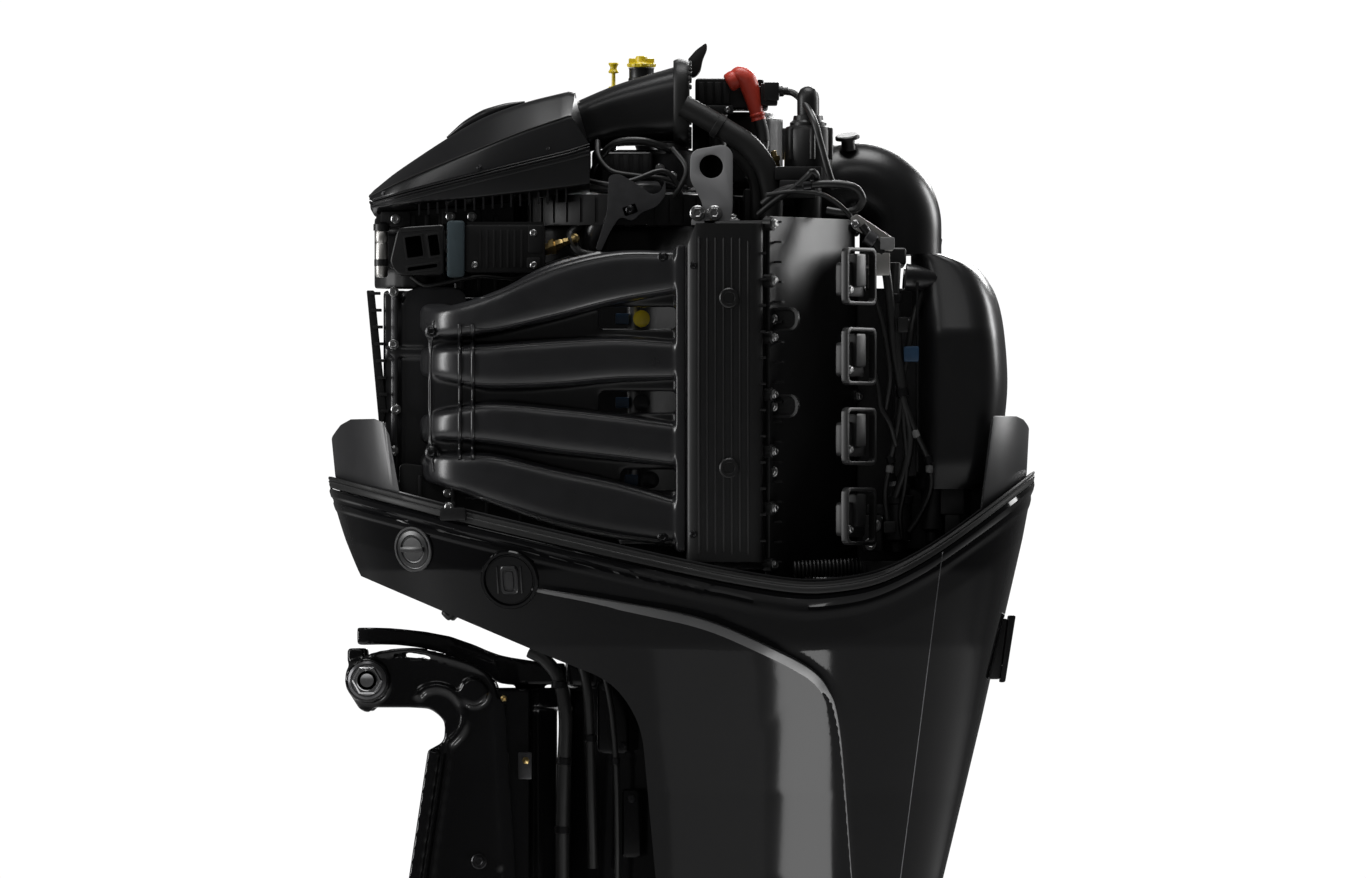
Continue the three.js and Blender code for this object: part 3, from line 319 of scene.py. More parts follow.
def basis(normal, hint=(0, 0, 1)):
    """The unit vector of a direction and two unit vectors square to it."""
    n = np.array(normal, float) / np.linalg.norm(normal)
    u = np.cross(hint, n)
    if np.linalg.norm(u) < 1e-3:
        u = np.cross((0, 1, 0), n)
    u /= np.linalg.norm(u)
    return n, u, np.cross(n, u)


def lathe(centre, normal, profile, sides=24, hint=(0, 0, 1)):
    """(points, faces) turned round a normal; profile is [radius, distance along]."""
    n, u, v = basis(normal, hint)
    rings = []
    for radius, along in profile:
        middle = np.array(centre) + n * along
        rings.append([(middle + max(radius, 1e-3) * (u * math.cos(t) + v * math.sin(t))).tolist()
                      for t in 2 * np.pi * np.arange(sides) / sides])
    return skin(rings)


def curve_points(points, per=8):
    """A smooth curve through points, each section cut in equal steps."""
    p = np.array(points, float)
    p = np.vstack([2 * p[0] - p[1], p, 2 * p[-1] - p[-2]])
    out = []
    for i in range(1, len(p) - 2):
        for t in np.arange(per) / per:
            a, b, c, d = p[i - 1], p[i], p[i + 1], p[i + 2]
            out.append(0.5 * (2 * b + (c - a) * t + (2 * a - 5 * b + 4 * c - d) * t * t
                              + (3 * b - a - 3 * c + d) * t ** 3))
    out.append(p[-2])
    return np.array(out)


def tube(points, radius, sides=10, per=8, smooth=True):
    """(points, faces) of a round tube; radius may be one number or one for each point."""
    path = curve_points(points, per) if smooth else np.array(points, float)
    if np.ndim(radius):
        radii = np.interp(np.linspace(0, 1, len(path)), np.linspace(0, 1, len(radius)), radius)
    else:
        radii = np.full(len(path), float(radius))
    tangents = np.gradient(path, axis=0)
    tangents /= np.linalg.norm(tangents, axis=1)[:, None]
    _, u, _ = basis(tangents[0])
    rings = []
    for centre, tangent, r in zip(path, tangents, radii):
        u = u - tangent * np.dot(u, tangent)
        u /= np.linalg.norm(u)
        v = np.cross(tangent, u)
        rings.append([(centre + r * (u * math.cos(a) + v * math.sin(a))).tolist()
                      for a in 2 * np.pi * np.arange(sides) / sides])
    return skin(rings)


def soft(x0, x1, y0, y1, z0, z1, radius, segments=2, angle=30.0):
    """A block with rounded edges."""
    return bevelled(block(x0, x1, y0, y1, z0, z1), radius, segments, angle)


def span(side, a, b):
    """The lower and the upper Y of a pair of distances from the centreline."""
    return sorted((side * a, side * b))


def circle(count):
    """Angles of equal steps round a circle."""
    return np.linspace(0, 2 * np.pi, count + 1)[:-1]


def hex_bolt(at, normal, size):
    """A hexagon flange bolt head that stands on a surface."""
    washer = [(1.28, 0), (1.28, 0.16), (1.1, 0.3), (0, 0.32)]
    head = [(0.98, 0.1), (1, 0.2), (1, 0.72), (0.86, 0.88), (0.62, 0.9), (0.5, 0.8), (0, 0.8)]
    return pooled(*[lathe(at, normal, [(size * r, size * h) for r, h in profile], sides)
                    for profile, sides in ((washer, 20), (head, 6))])


def fused(name, part, voxel, mat, smooth=6, keep=None, hides=(), body="motor"):
    """Overlapping solids melted into one skin whose corners are softened, as a casting's are."""
    steps = [("REMESH", {"mode": "VOXEL", "voxel_size": voxel / 1000}),
             ("SMOOTH", {"factor": 0.5, "iterations": smooth})]
    if keep:
        steps.append(("DECIMATE", {"ratio": keep}))
    return place(name, applied(raw(*part), *steps), mat, 40.0, hides, body)


def from_node(node):
    """(points, faces) of a CAD node."""
    mesh = NODES[node].data
    verts = [tuple(c * 1000 for c in NODES[node].matrix_world @ v.co) for v in mesh.vertices]
    return verts, [tuple(p.vertices) for p in mesh.polygons]


def cast_node(node, voxel, mat, smooth=5, keep=0.5, extra=(), body="motor"):
    """A CAD casting with its corners softened, and any extra solids melted into it."""
    part = lists(welded(raw(*from_node(node)), outward=False))
    fused(f"{node}_casting", pooled(part, *extra), voxel, mat, smooth, keep, (node,), body)


# ---------------------------------------------------------------- lower cowl

# Height, then bow end, stern end and half width of the cowl there.
COWL_LEVELS = np.array([[-335, 150, 643, 118], [-211, 140, 671, 156], [-100, 100, 697, 198],
    [0, 20, 720, 244], [90, -72, 740, 284], [190, -108, 763, 308], [330, -150, 795, 320]], float)
COWL_MIDDLE = 370.0
COWL_POWER = 2 / 2.7
PANEL_STEP = 8
SKIN_INSET, LINING_INSET = 0.4, 5.5
RIM = curve_points([(-170, 305), (-40, 270), (110, 232), (400, 168), (530, 159), (640, 198),
    (820, 328)], 20)
# Lower edge of the side, from the bow to the underside.
COWL_EDGE = np.array(rounded([(-300, 214), (-170, 214, 8), (-107, 187, 30), (147, 79, 40),
    (236, 44, 40), (272, -12, 40), (290, -211), (303, -335), (700, -335)], 8))
# Crease that parts the sunk forward panel from the aft one.
CREASE = curve_points([(100, 171), (127, 166), (240, 147), (348, 125), (430, 92), (491, 60),
    (516, 30), (526, 0), (534, -60), (546, -211), (556, -340)], 8)


def rim_height(x):
    """Height of the cowl's upper edge at a place along the boat."""
    return np.interp(x, RIM[:, 0], RIM[:, 1])


def cowl_point(turn, z, inset):
    """A point of the cowl: turn 0 is the bow, turns up to pi are to port."""
    front, back, half = (np.interp(z, COWL_LEVELS[:, 0], COWL_LEVELS[:, i]) for i in (1, 2, 3))
    c, s = np.cos(turn), np.sin(turn)
    reach = np.where(c > 0, COWL_MIDDLE - front, back - COWL_MIDDLE) - inset
    x = COWL_MIDDLE - np.sign(c) * np.abs(c) ** COWL_POWER * reach
    return x, -np.sign(s) * np.abs(s) ** COWL_POWER * (half - inset), z


def cowl_side(x, z, inset=0.0):
    """Half width of the cowl at a place in the side view."""
    front, back, half = (np.interp(z, COWL_LEVELS[:, 0], COWL_LEVELS[:, i]) for i in (1, 2, 3))
    reach = np.where(x < COWL_MIDDLE, COWL_MIDDLE - front, back - COWL_MIDDLE) - inset
    c = np.clip(np.abs(x - COWL_MIDDLE) / reach, 0, 1) ** (1 / COWL_POWER)
    return np.sqrt(1 - c * c) ** COWL_POWER * (half - inset)


def cowl_turn(x, z):
    """The turn at which cowl_point gives this X at this height."""
    front, back, _ = (np.interp(z, COWL_LEVELS[:, 0], COWL_LEVELS[:, i]) for i in (1, 2, 3))
    reach = COWL_MIDDLE - front if x < COWL_MIDDLE else back - COWL_MIDDLE
    c = min(1.0, abs(x - COWL_MIDDLE) / reach) ** (1 / COWL_POWER)
    return math.acos(math.copysign(c, COWL_MIDDLE - x))


def crease_distance(x, z):
    """Distance from the crease, positive on the sunk forward and lower side."""
    best = np.full(np.shape(x), 1e9)
    side = np.ones(np.shape(x))
    for a, b in zip(CREASE[:-1], CREASE[1:]):
        along = b - a
        t = np.clip(((x - a[0]) * along[0] + (z - a[1]) * along[1]) / (along @ along), 0, 1)
        dx, dz = x - a[0] - t * along[0], z - a[1] - t * along[1]
        distance = np.hypot(dx, dz)
        nearer = distance < best
        best = np.where(nearer, distance, best)
        side = np.where(nearer, np.where(along[0] * dz - along[1] * dx < 0, 1, -1), side)
    return best * side


def cowl_sink(x, z):
    """How far the skin is sunk in: a proud forward panel with a ledge, and a lip at the rim."""
    distance = crease_distance(x, z)
    size = np.interp(x, [125, 190, 320], [0, 0.5, 1]) * PANEL_STEP
    step = np.interp(distance, [-190, -90, -12, -8, 3, 7, 30, 140], [0, 0.36, 0.38, 0.36, -0.3,
        -0.36, -0.34, 0])
    below = rim_height(x) - z
    lip = np.interp(below, [0, 2, 9, 11, 15, 17, 24, 27, 60], [2.2, 0, 0, 1.8, 1.8, 0.3, 0.3, 1.5,
        0])
    return size * step + lip


def cowl_columns():
    """X of each column on the rim, how far along the lower edge it ends, and that edge's lengths."""
    columns = []
    spacing = [(-149, 236, 56), (236, 560, 96), (560, 800, 40)]
    for start, end, count in spacing:
        for t in np.arange(count) / count:
            columns.append(start + (end - start) * t)
    columns.append(800)
    tops = np.array(columns)
    # the edge turns down between X 236 and 303: columns fan out there
    lengths = np.concatenate([[0], np.cumsum(np.hypot(*np.diff(COWL_EDGE, axis=0).T))])
    stops_top = [-149, 150, 300, 440, 800]
    marks = [(-96, 182.3), (147, 79), (272, -12), (303, -335), (643, -335)]
    stops_edge = []
    for mark in marks:
        nearest = np.argmin(np.hypot(COWL_EDGE[:, 0] - mark[0], COWL_EDGE[:, 1] - mark[1]))
        a = lengths[nearest]
        stops_edge.append(a + (mark[0] - COWL_EDGE[nearest, 0]) if mark[1] in (-335, 182.3) else a)
    return tops, np.interp(tops, stops_top, stops_edge), lengths


def cowl_half(side, name, node):
    """One half of the lower cowl: an outer and an inner skin, joined at the edges."""
    tops, edge_at, lengths = cowl_columns()
    rows, inner_rows = 100, 16
    bounds_top, bounds_low = [], []
    for x_top, along in zip(tops, edge_at):
        z_top = float(rim_height(x_top))
        x_low = float(np.interp(along, lengths, COWL_EDGE[:, 0]))
        z_low = float(np.interp(along, lengths, COWL_EDGE[:, 1]))
        bounds_top.append((cowl_turn(x_top, z_top), z_top))
        bounds_low.append((cowl_turn(x_low, z_low), z_low))

    def surface(count, inset, sunk):
        rings = []
        for (turn_a, z_a), (turn_b, z_b) in zip(bounds_top, bounds_low):
            t = np.linspace(0, 1, count + 1)
            x, y, z = cowl_point(turn_a + (turn_b - turn_a) * t, z_a + (z_b - z_a) * t, inset)
            if sunk:
                d = cowl_sink(x, z)
                turns = turn_a + (turn_b - turn_a) * t
                x, y, z = cowl_point(turns, z, inset + d)
            y = np.minimum(y, -0.6)
            rings.append(np.stack([x, -y * side, z], 1).tolist())
        return rings

    outer, inner = surface(rows, SKIN_INSET, True), surface(inner_rows, LINING_INSET, False)
    outside = skin(outer, closed=False, caps=False)
    inside = skin(inner, closed=False, caps=False)
    top = skin([[o[0] for o in outer], [i[0] for i in inner]], closed=False, caps=False)
    low = skin([[o[-1] for o in outer], [i[-1] for i in inner]], closed=False, caps=False)
    bow = pooled((outer[0] + inner[0][::-1], [tuple(range(rows + inner_rows + 2))]))
    stern = pooled((outer[-1] + inner[-1][::-1], [tuple(range(rows + inner_rows + 2))]))
    add(name, [outside, inside, top, low, bow, stern], "gloss", 28, (node,))


for side, word in SIDES:
    cowl_half(side, f"{word}_cowl_skin", f"{word}_lower_cowl")


def loop_round(section, count=260, top=None):
    """A strip round the whole cowl; section is [inset, height over the rim] points."""
    rings = []
    for turn in 2 * np.pi * (np.arange(count) + 0.5) / count:
        ring = []
        for inset, over in section:
            z = 250.0
            for _ in range(6):
                x = float(cowl_point(turn, z, inset)[0])
                z = float(rim_height(x)) + over if top is None or over < 21 else top(x, over)
            x, y, _ = cowl_point(turn, z, inset)
            ring.append((float(x), float(y), z))
        rings.append(ring)
    rings.append(rings[0])
    return skin(rings, closed=True, caps=False)


SEAL = [(3.0, 3), (8, 2.5), (12.5, 3), (12.5, 9), (11, 10.5), (11.8, 12.5), (11, 16), (8.5, 17.5),
    (5.5, 16.8), (4, 14.2), (4.6, 11.8), (3.2, 10.4), (3.6, 8.4), (2.8, 6.4)]
add("rim_seal_lip", loop_round(SEAL, 300), "rubber", 50, ("cowl_rim_seal",))


def liner_top(x, over):
    """Top of the inner shroud, which stands up at the bow and the stern."""
    rim = float(rim_height(x))
    bow = np.interp(x, [-150, -134, -122, -108, -76, -64, -57, -51, -44],
        [350, 366, 380, 387, 387, 382, 368, 330, rim + 21])
    stern = np.interp(x, [716, 722, 727, 733, 762, 772, 780], [rim + 21, 372, 388, 391, 391, 387,
        378])
    height = float(bow) if x < -44 else float(stern) if x > 716 else rim + 21.5
    return height - (2.0 if over > 22 else 0.0)


LINER = [(14.2, -11.5), (17.8, -11.5), (17.8, 4), (17.8, 20), (17.8, 23), (17.2, 22), (16, 22),
    (14.8, 22), (14.2, 23), (14.2, 20), (14.2, 4)]
add("inner_shroud", loop_round(LINER, 420, liner_top), "liner", 40, ("cowl_liner",))

# ---------------------------------------------------------------- helpers for laid-on detail


def hit_surface(*objs):
    """A function that gives the outermost skin's distance from the centreline at X and Z."""
    verts, faces = [], []
    for obj in objs:
        start = len(verts)
        verts += [v.co.copy() for v in obj.data.vertices]
        faces += [tuple(i + start for i in p.vertices) for p in obj.data.polygons]
    tree = BVHTree.FromPolygons(verts, faces)

    def side_at(x, z, side, otherwise=200.0):
        hit = tree.ray_cast(Vector((x / 1000, side * 0.6, z / 1000)), Vector((0, -side, 0)))
        return abs(hit[0].y) * 1000 if hit[0] else otherwise
    return side_at


def draped(side_at, side, points, radius, rise=0.0, per=6, sides=8):
    """A raised line that follows the skin below it."""
    path = curve_points([(x, z, 0) for x, z in points], per)
    spots = [(x, side * (side_at(x, z, side) + rise), z) for x, z, _ in path]
    return tube(spots, radius, sides, smooth=False)


def carve(part, *cutters):
    """(points, faces) with other solids cut away."""
    tool = in_scene("cutter", welded(raw(*pooled(*cutters))))
    done = applied(welded(raw(*part)), ("BOOLEAN", {"object": tool, "operation": "DIFFERENCE",
        "solver": "EXACT"}))
    bpy.data.objects.remove(tool)
    return lists(done)


def bolts(name, spots, mat, size=6.0, along=TO_PORT, body="motor"):
    """Hexagon bolts at points that face one way, or at (point, normal) pairs."""
    pairs = [(at, along) for at in spots] if along else spots
    add(name, [hex_bolt(at, normal, size) for at, normal in pairs], mat, 30, body=body)



# ---------------------------------------------------------------- intake manifolds

RUNNER_PATH = [(6, 129), (6, 186), (28, 226), (80, 240), (160, 245), (239, 247), (320, 250)]
RUNNER_REACH = [22, 22, 25, 28, 28, 27, 25]
RUNNERS = [[(517, 19), (517, 19), (513, 20), (525, 25), (551, 34), (570, 33), (577, 26)],
           [(461, 19), (461, 19), (459, 22), (455, 28), (459, 30), (464, 28), (463, 25)],
           [(374, 19), (374, 19), (379, 19), (381, 26), (372, 29), (363, 29), (353, 28)],
           [(324, 19), (324, 19), (319, 22), (308, 32), (285, 37), (268, 37), (252, 30)]]


def runner(side, heights):
    """One intake runner, a rounded duct along the path."""
    line = curve_points([(x, y, z, reach, half) for (x, y), reach, (z, half) in zip(RUNNER_PATH,
        RUNNER_REACH, heights)], 10)
    tangents = np.gradient(line[:, :2], axis=0)
    tangents /= np.linalg.norm(tangents, axis=1)[:, None]
    rings = []
    for (x, y, z, reach, half), (tx, ty) in zip(line, tangents):
        across = np.array([ty, -tx * side, 0]) * reach
        rings.append(oval((x, side * y, z), across, (0, 0, half + 1.2), 3.6, 40))
    return skin(rings)


for side, word in SIDES:
    web_low, web_high = sorted((side * 219, side * 226))
    web = [
        prism("y", [(-6, 306, 16), (-6, 522, 16), (60, 538, 30), (150, 590, 40), (217, 606),
            (217, 234), (80, 274, 40)], web_low, web_high),
        prism("y", [(210, 532), (320, 532), (320, 606), (210, 604)], web_low, web_high),
        prism("y", rect(210, 320, 422, 504), web_low, web_high),
        prism("y", rect(240, 320, 320, 395), web_low, web_high),
        prism("y", rect(210, 242, 321, 395), web_low, web_high),
        prism("y", [(242, 224), (320, 220), (320, 294), (242, 294)], web_low, web_high),
        prism("y", [(210, 236), (246, 228), (246, 320), (210, 320)], web_low, web_high)]
    flange = block(316.5, 329.5, *span(side, 208, 278), 213, 612)
    feet = [lathe((x, side * 226, z), (0, side, 0), [(10, -14), (10, 6), (9, 8), (0, 8)])
        for x, z in ((-1, 500), (-1, 342), (300, 596), (300, 232))]
    skin_obj = fused(f"{word}_runners", pooled(flange, *web, *feet, *[runner(side, h)
        for h in RUNNERS]), 2.8, "satin", 5, hides=(f"{word}_intake_manifold",))
    side_at = hit_surface(skin_obj)
    ridges = []
    for heights in RUNNERS:
        for share in (0.86, -0.86):
            spots = [(x, z + share * half) for (x, _), (z, half) in zip(RUNNER_PATH[3:],
                heights[3:])]
            ridges.append(draped(side_at, side, [(42, spots[0][1] - share * 3), *spots[:-1],
                (312, spots[-1][1])], 1.0, 0.2))
    for x in (36, 53):
        ridges.append(draped(side_at, side, [(x, z) for z in range(333, 510, 8)], 3.0, 0.3, 2))
    ridges.append(draped(side_at, side, [(2, 318), (-2, 360), (-2, 410), (-2, 470), (2, 514)], 1.6,
        0.0))
    add(f"{word}_runner_ridges", ridges, "satin", 60)
    spots = [((x, side * (side_at(x, z, side) + 0.2), z), (0, side, 0)) for x, z in ((-1, 500),
        (-1, 342), (300, 596), (300, 232))]
    bolts(f"{word}_runner_bolts", spots, "dark_bolt", 5.5, along=None)
    # injectors and their plugs, seen through the slots of the casting
    bits, cups = [], []
    for x, z in ((272, 517), (272, 408), (284, 307)):
        cups.append(lathe((x, side * 196, z), (0, side, 0), [(9, 0), (9, 20), (11, 21), (11, 26),
            (6, 28), (0, 28)], 20))
        bits.append(block(x - 34, x - 16, *span(side, 190, 216), z - 7, z + 7))
    add(f"{word}_injector_caps", [cups[0]], "yellow")
    add(f"{word}_injectors", cups[1:], "dark_bolt")
    add(f"{word}_injector_plugs", bevelled(pooled(*bits), 2), "blue")
    rail = tube([(262, side * 188, 300), (262, side * 188, 420), (262, side * 188, 540)], 9, 14)
    add(f"{word}_fuel_rail", rail, "bolt")

# ---------------------------------------------------------------- rail covers


def rail_cover(side, word):
    """The ribbed upright cover between the runners and the valve cover."""
    plan = [(330, 212, 3), (360, 212, 4), (430, 255, 4), (430, 264, 5), (420, 273, 7),
        (345, 285, 8), (330, 278, 6)]
    body = prism("z", [(x, side * y, *r) for x, y, *r in plan], 200, 640, 5)
    shaved = carve(body, prism("y", [(320, 604), (330.2, 606), (343, 641), (320, 652)],
        *span(side, 200, 295)))
    parts = [bevelled(shaved, 2.5, 3, 40)]
    for i in range(7):
        x = 347 + 10.6 * i
        y = side * (285 - (x - 345) * 12 / 75 - 0.4)
        low, high = (212 + 3 * (i % 2), 619 - 4 * (i == 6))
        parts.append(tube([(x, y + side * -2, low - 3), (x, y, low), (x, y, high),
            (x, y + side * -2, high + 3)], 1.9, 8, smooth=False))
    for z in (543, 322):
        parts.append(lathe((385, side * 276, z), (0.16, side, 0), [(13, -2), (13, 5), (11.5, 6.5),
            (8, 6.5), (7, 5), (0, 5)], 26))
    for z in range(226, 630, 34):
        parts.append(soft(426, 434, *span(side, 258, 268), z, z + 3, 0.8))
    add(f"{word}_rail_cover_skin", parts, "moulded", 34, (f"{word}_rail_cover",))
    bolts(f"{word}_rail_bolts", [(340, side * 281.5, z) for z in (585, 236)], "dark_bolt", 4.5,
        along=(0, side, 0))


for side, word in SIDES:
    rail_cover(side, word)

# ---------------------------------------------------------------- banks of cylinders

BANK = math.radians(32)
BORES = (258, 362, 466, 570)
CRANK_X = 250


def in_bank(side, part):
    """Bank coordinates (along the cylinders, outwards, up) to the frame's axes."""
    c, s = math.cos(BANK), math.sin(BANK)
    verts = [(CRANK_X + d * c - w * s, side * (d * s + w * c), z) for d, w, z in part[0]]
    return verts, part[1]


def valve_cover(side, word):
    """Valve cover, its flange and bolts, and the coils in its pockets."""
    profile = [(287, -95), (287, 112, 2), (299, 112, 3), (303, 105, 4), (334, 105, 12),
        (388, 92, 22), (395, -70, 20), (350, -95, 20)]
    body = prism("z", profile, 185, 646, 7)
    pockets = [prism("x", rect(16, 84, z - 33, z + 36, 9), 369, 420, 4) for z in BORES]
    slope = prism("y", [(332, 647), (400, 590), (420, 660), (336, 660)], -120, 130)
    shell = carve(bevelled(body, 5, 3, 45), *pockets, slope)
    parts = [shell]
    for z in BORES:
        lip = rect(13, 87, z - 36, z + 39, 10)
        hole = rect(18, 82, z - 31, z + 34, 8)
        ring = carve(prism("x", lip, 386, 395.5, 4), prism("x", hole, 380, 400, 4))
        parts.append(bevelled(ring, 1.2, 2, 50))
    # recessed lugs on the outer face
    for z in (516, 403):
        lug = rounded([(284, z - 15, 3), (333, z - 15, 15), (333, z + 15, 15), (284, z + 15, 3)],
            6)
        outer = [[(d, w, h) for d, h in lug] for w in (103, 106.5, 107.5)]
        middle = np.mean(lug, axis=0)
        for share, w in ((0.84, 107.5), (0.74, 102), (0.1, 102)):
            outer.append([((d - middle[0]) * share + middle[0], w, (h - middle[1]) * share
                + middle[1]) for d, h in lug])
        parts.append(skin([[tuple(p) for p in ring] for ring in outer]))
    for z in range(199, 648, 26):
        parts.append(block(296, 308, 100, 107.6, z, z + 2.6))
    flange = prism("z", [(286.8, -99, 2), (286.8, 116, 4), (294.5, 116, 3), (294.5, -99, 2)], 181,
        650, 3)
    parts.append(bevelled(flange, 1.5, 2, 40))
    for z in range(196, 650, 74):
        for w in (-97, 113):
            parts.append(lathe((287, w, z), AFT, [(9, 0), (9, 12), (8, 13), (0, 13)], 20))
    add(f"{word}_valve_cover_skin", in_bank(side, pooled(*parts)), "moulded", 20,
        (f"{word}_valve_cover",))
    heads = [hex_bolt((300, w, z), (1, 0, 0), 5) for z in range(196, 650, 74) for w in (-97, 113)]
    heads += [hex_bolt((294, 105, z), (0, 1, 0), 5.5) for z in (516, 403, 318)]
    add(f"{word}_valve_cover_bolts", in_bank(side, pooled(*heads)), "bolt", 30)
    coils, plugs = [], []
    for z in BORES:
        coils.append(bevelled(prism("x", rect(26, 74, z - 25, z + 20, 6), 369.5, 386, 3), 2, 2,
            50))
        coils.append(bevelled(prism("x", rect(34, 58, z - 12, z + 31, 4), 369.5, 392, 3), 1.5, 2,
            50))
        plugs.append(hex_bolt((386, 66, z - 16), (1, 0, 0), 4.6))
    add(f"{word}_coils", in_bank(side, pooled(*coils)), "moulded", 34)
    add(f"{word}_coil_bolts", in_bank(side, pooled(*plugs)), "bolt", 30)


for side, word in SIDES:
    valve_cover(side, word)
    cast_node(f"{word}_cylinder_head", 3.6, "cast", 5, 0.4)
cast_node("engine_block", 4.2, "cast", 5, 0.4)
cast_node("adapter_plate", 3.4, "satin", 4, 0.4)

for side, word in SIDES:
    tray = [prism("y", [(-44, 250, 10), (-44, 330, 10), (60, 318, 30), (200, 262, 30),
        (330, 230, 10), (330, 150, 6), (60, 190, 20)], *span(side, 150, 196), 5)]
    for i in range(8):
        x = -20 + 44 * i
        top = float(np.interp(x, [-44, 60, 200, 330], [316, 304, 252, 222]))
        tray.append(block(x, x + 6, *span(side, 190, 204), top - 70, top))
    tray.append(tube([(-40, side * 200, 262), (80, side * 206, 238), (200, side * 210, 206),
        (322, side * 210, 190)], 6, 12))
    add(f"{word}_under_tray", bevelled(pooled(*tray), 2.5, 2, 40), "moulded", 34)
    bolts(f"{word}_tray_bolts", [(20, side * 197, 290), (150, side * 197, 262)], "bolt", 5,
        along=(0, side, 0))

# ---------------------------------------------------------------- air box and trunk

AIR_STATIONS = [(-84, 664, 674, 680, 685, 92), (-80, 657, 672, 682, 689, 104),
    (-40, 661, 682, 700, 719, 132), (49, 668, 704, 736, 775, 152), (114, 675, 720, 762, 801, 158),
    (176, 682, 735, 783, 817, 160)]


def air_line(per):
    """Rows of X, underside, seam, crease, crest and half width of the air box."""
    line = curve_points(AIR_STATIONS[1:], per)
    return np.vstack([AIR_STATIONS[0], line])


def lid_ring(seam, crease, crest):
    """Each of seam, crease and crest is (x, half width, height)."""
    (xs, hs, zs), (xc, hc, zc), (xt, ht, zt) = seam, crease, crest
    corners = [(-hs, zs, 2), (-hc, zc, 5), (-ht, zt, 12), (ht, zt, 12), (hc, zc, 5), (hs, zs, 2)]
    outline = rounded(corners, 5)
    return [(float(np.interp(z, [zs, zc, zt], [xs, xc, xt])), y, z) for y, z in outline]


rings = [lid_ring((x, half - 0.5, seam + 3), (x, half - 6, crease), (x, half - 52, crest))
    for x, _, seam, crease, crest, half in air_line(6)]
rings.append(lid_ring((204, 160, 745), (180, 154, 783), (185, 108, 816)))
lid = [skin(rings)]
for offset, out in ((2.2, 0.6), (-1.2, 1.4)):
    for side, _ in SIDES:
        lid.append(tube([(x, side * (half - 0.6 + out), seam + offset)
            for x, _, seam, _, _, half in air_line(6)] + [(204, side * 160.6, 744 + offset)], 1.2,
            8, smooth=False))
# low lip round the nose and a shallow scoop on the crown
nose = [(-40 - 44 * math.cos(t) * 1.02, 126 * math.sin(t), 689 - 7 * math.cos(t))
    for t in np.linspace(-1.15, 1.15, 15)]
lid.append(tube(nose, 2.6, 8, smooth=False))
add("air_lid_skin", lid, "shell", 24, ("air_box_lid",))
for side, word in SIDES:
    add(f"{word}_lid_crease", tube([(x, side * (half - 6.2), crease)
        for x, _, _, crease, _, half in air_line(6)] + [(180, side * 153.6, 783)], 1.1, 6,
        smooth=False), "rubber")
    scoop = [(x, side * (12 + 16 * k), z) for x, z, k in ((16, 759, 0), (40, 776, 0.5),
        (66, 789, 0.9), (94, 799, 1), (118, 805.5, 0.7))]
    add(f"{word}_lid_scoop", tube(scoop, [1.5, 5, 7, 5, 1.5], 12), "shell")

base = []
for x, low, seam, _, _, half in air_line(6):
    base.append([(x, y, z) for y, z in rounded([(-half, seam - 1, 2), (half, seam - 1, 2),
        (half - 3, low + 8, 3), (half - 34, low, 16), (-half + 34, low, 16),
        (-half + 3, low + 8, 3)], 4)])
base.append([(204, y, z) for _, y, z in [(0, y, z + (8 if z > 700 else 4))
    for _, y, z in base[-1]]])
parts = [skin(base)]
for side, _ in SIDES:
    for drop in (4.5, 9.5):
        parts.append(tube([(x, side * (half - 0.2 - drop * 0.12), max(seam - drop, low + 8))
            for x, low, seam, _, _, half in air_line(6)] + [(204, side * 160, 742 - drop)], 1.3, 8,
            smooth=False))
for x in range(-20, 180, 12):
    parts.append(block(x, x + 2.5, -150, -132, float(np.interp(x, [-40, 176], [652, 671])),
        float(np.interp(x, [-40, 176], [666, 690]))))
add("air_base_skin", parts, "shell", 28, ("air_box_base",))
dots = [((-66, -113, 683), (-0.5, -0.8, 0.2)), ((-66, 113, 683), (-0.5, 0.8, 0.2))]
dots += [((x, s * 156.8, z), (0, s, 0.3)) for x, z in ((60, 716), (150, 740)) for s in (-1, 1)]
bolts("air_box_screws", dots, "dark_bolt", 2.6, along=None)

TRUNK = [((186, 738), (168, 798), 82), ((236, 748), (228, 824), 88), ((280, 750), (276, 840), 96),
    ((321, 752), (321, 853), 104)]


def trunk_ring(low, high, half, inset=0.0):
    """A ring of the intake trunk between its lowest and highest point."""
    middle = (np.array(low) + np.array(high)) / 2
    up = (np.array(high) - np.array(low)) / 2
    up = up * (1 - inset / np.linalg.norm(up))
    return oval((middle[0], 0, middle[1]), (0, half - inset, 0), (up[0], 0, up[1]), 4.2, 72)


line = curve_points([(*low, *high, half) for low, high, half in TRUNK], 6)
outer = [trunk_ring(r[:2], r[2:4], r[4]) for r in line]
inner = [trunk_ring(r[:2], r[2:4], r[4], 5) for r in line[::-1][:12]]
add("trunk_skin", skin(outer + inner), "shell", 34, ("air_duct",))
add("trunk_dark", skin([
    trunk_ring(line[7][:2], line[7][2:4], line[7][4], 5.2),
    trunk_ring(line[6][:2], line[6][2:4], line[6][4], 5.2)]), "rubber")
bead = []
mouth = np.array(trunk_ring((324, 750), (324, 855), 106))
for a in circle(14):
    bead.append([(324 + 11 * math.sin(a), y * (1 + 0.04 * math.cos(a)), 802.5 + (z - 802.5)
        * (1.06 + 0.08 * math.cos(a))) for _, y, z in mouth])
bead.append(bead[0])
add("trunk_bead", skin(bead, caps=False), "rubber", 60)
ribs = []
for _, y, z in mouth[::2]:
    ribs.append(lathe((334, y * 1.03, 802.5 + (z - 802.5) * 1.04), AFT, [(2.6, -1), (2.6, 2.5),
        (1.6, 3.6), (0, 3.6)], 8))
add("trunk_bead_ribs", ribs, "rubber")
tip = [(323, 842), (331, 860), (343, 874), (357, 884), (358, 876), (352, 862), (349, 846),
    (341, 838)]
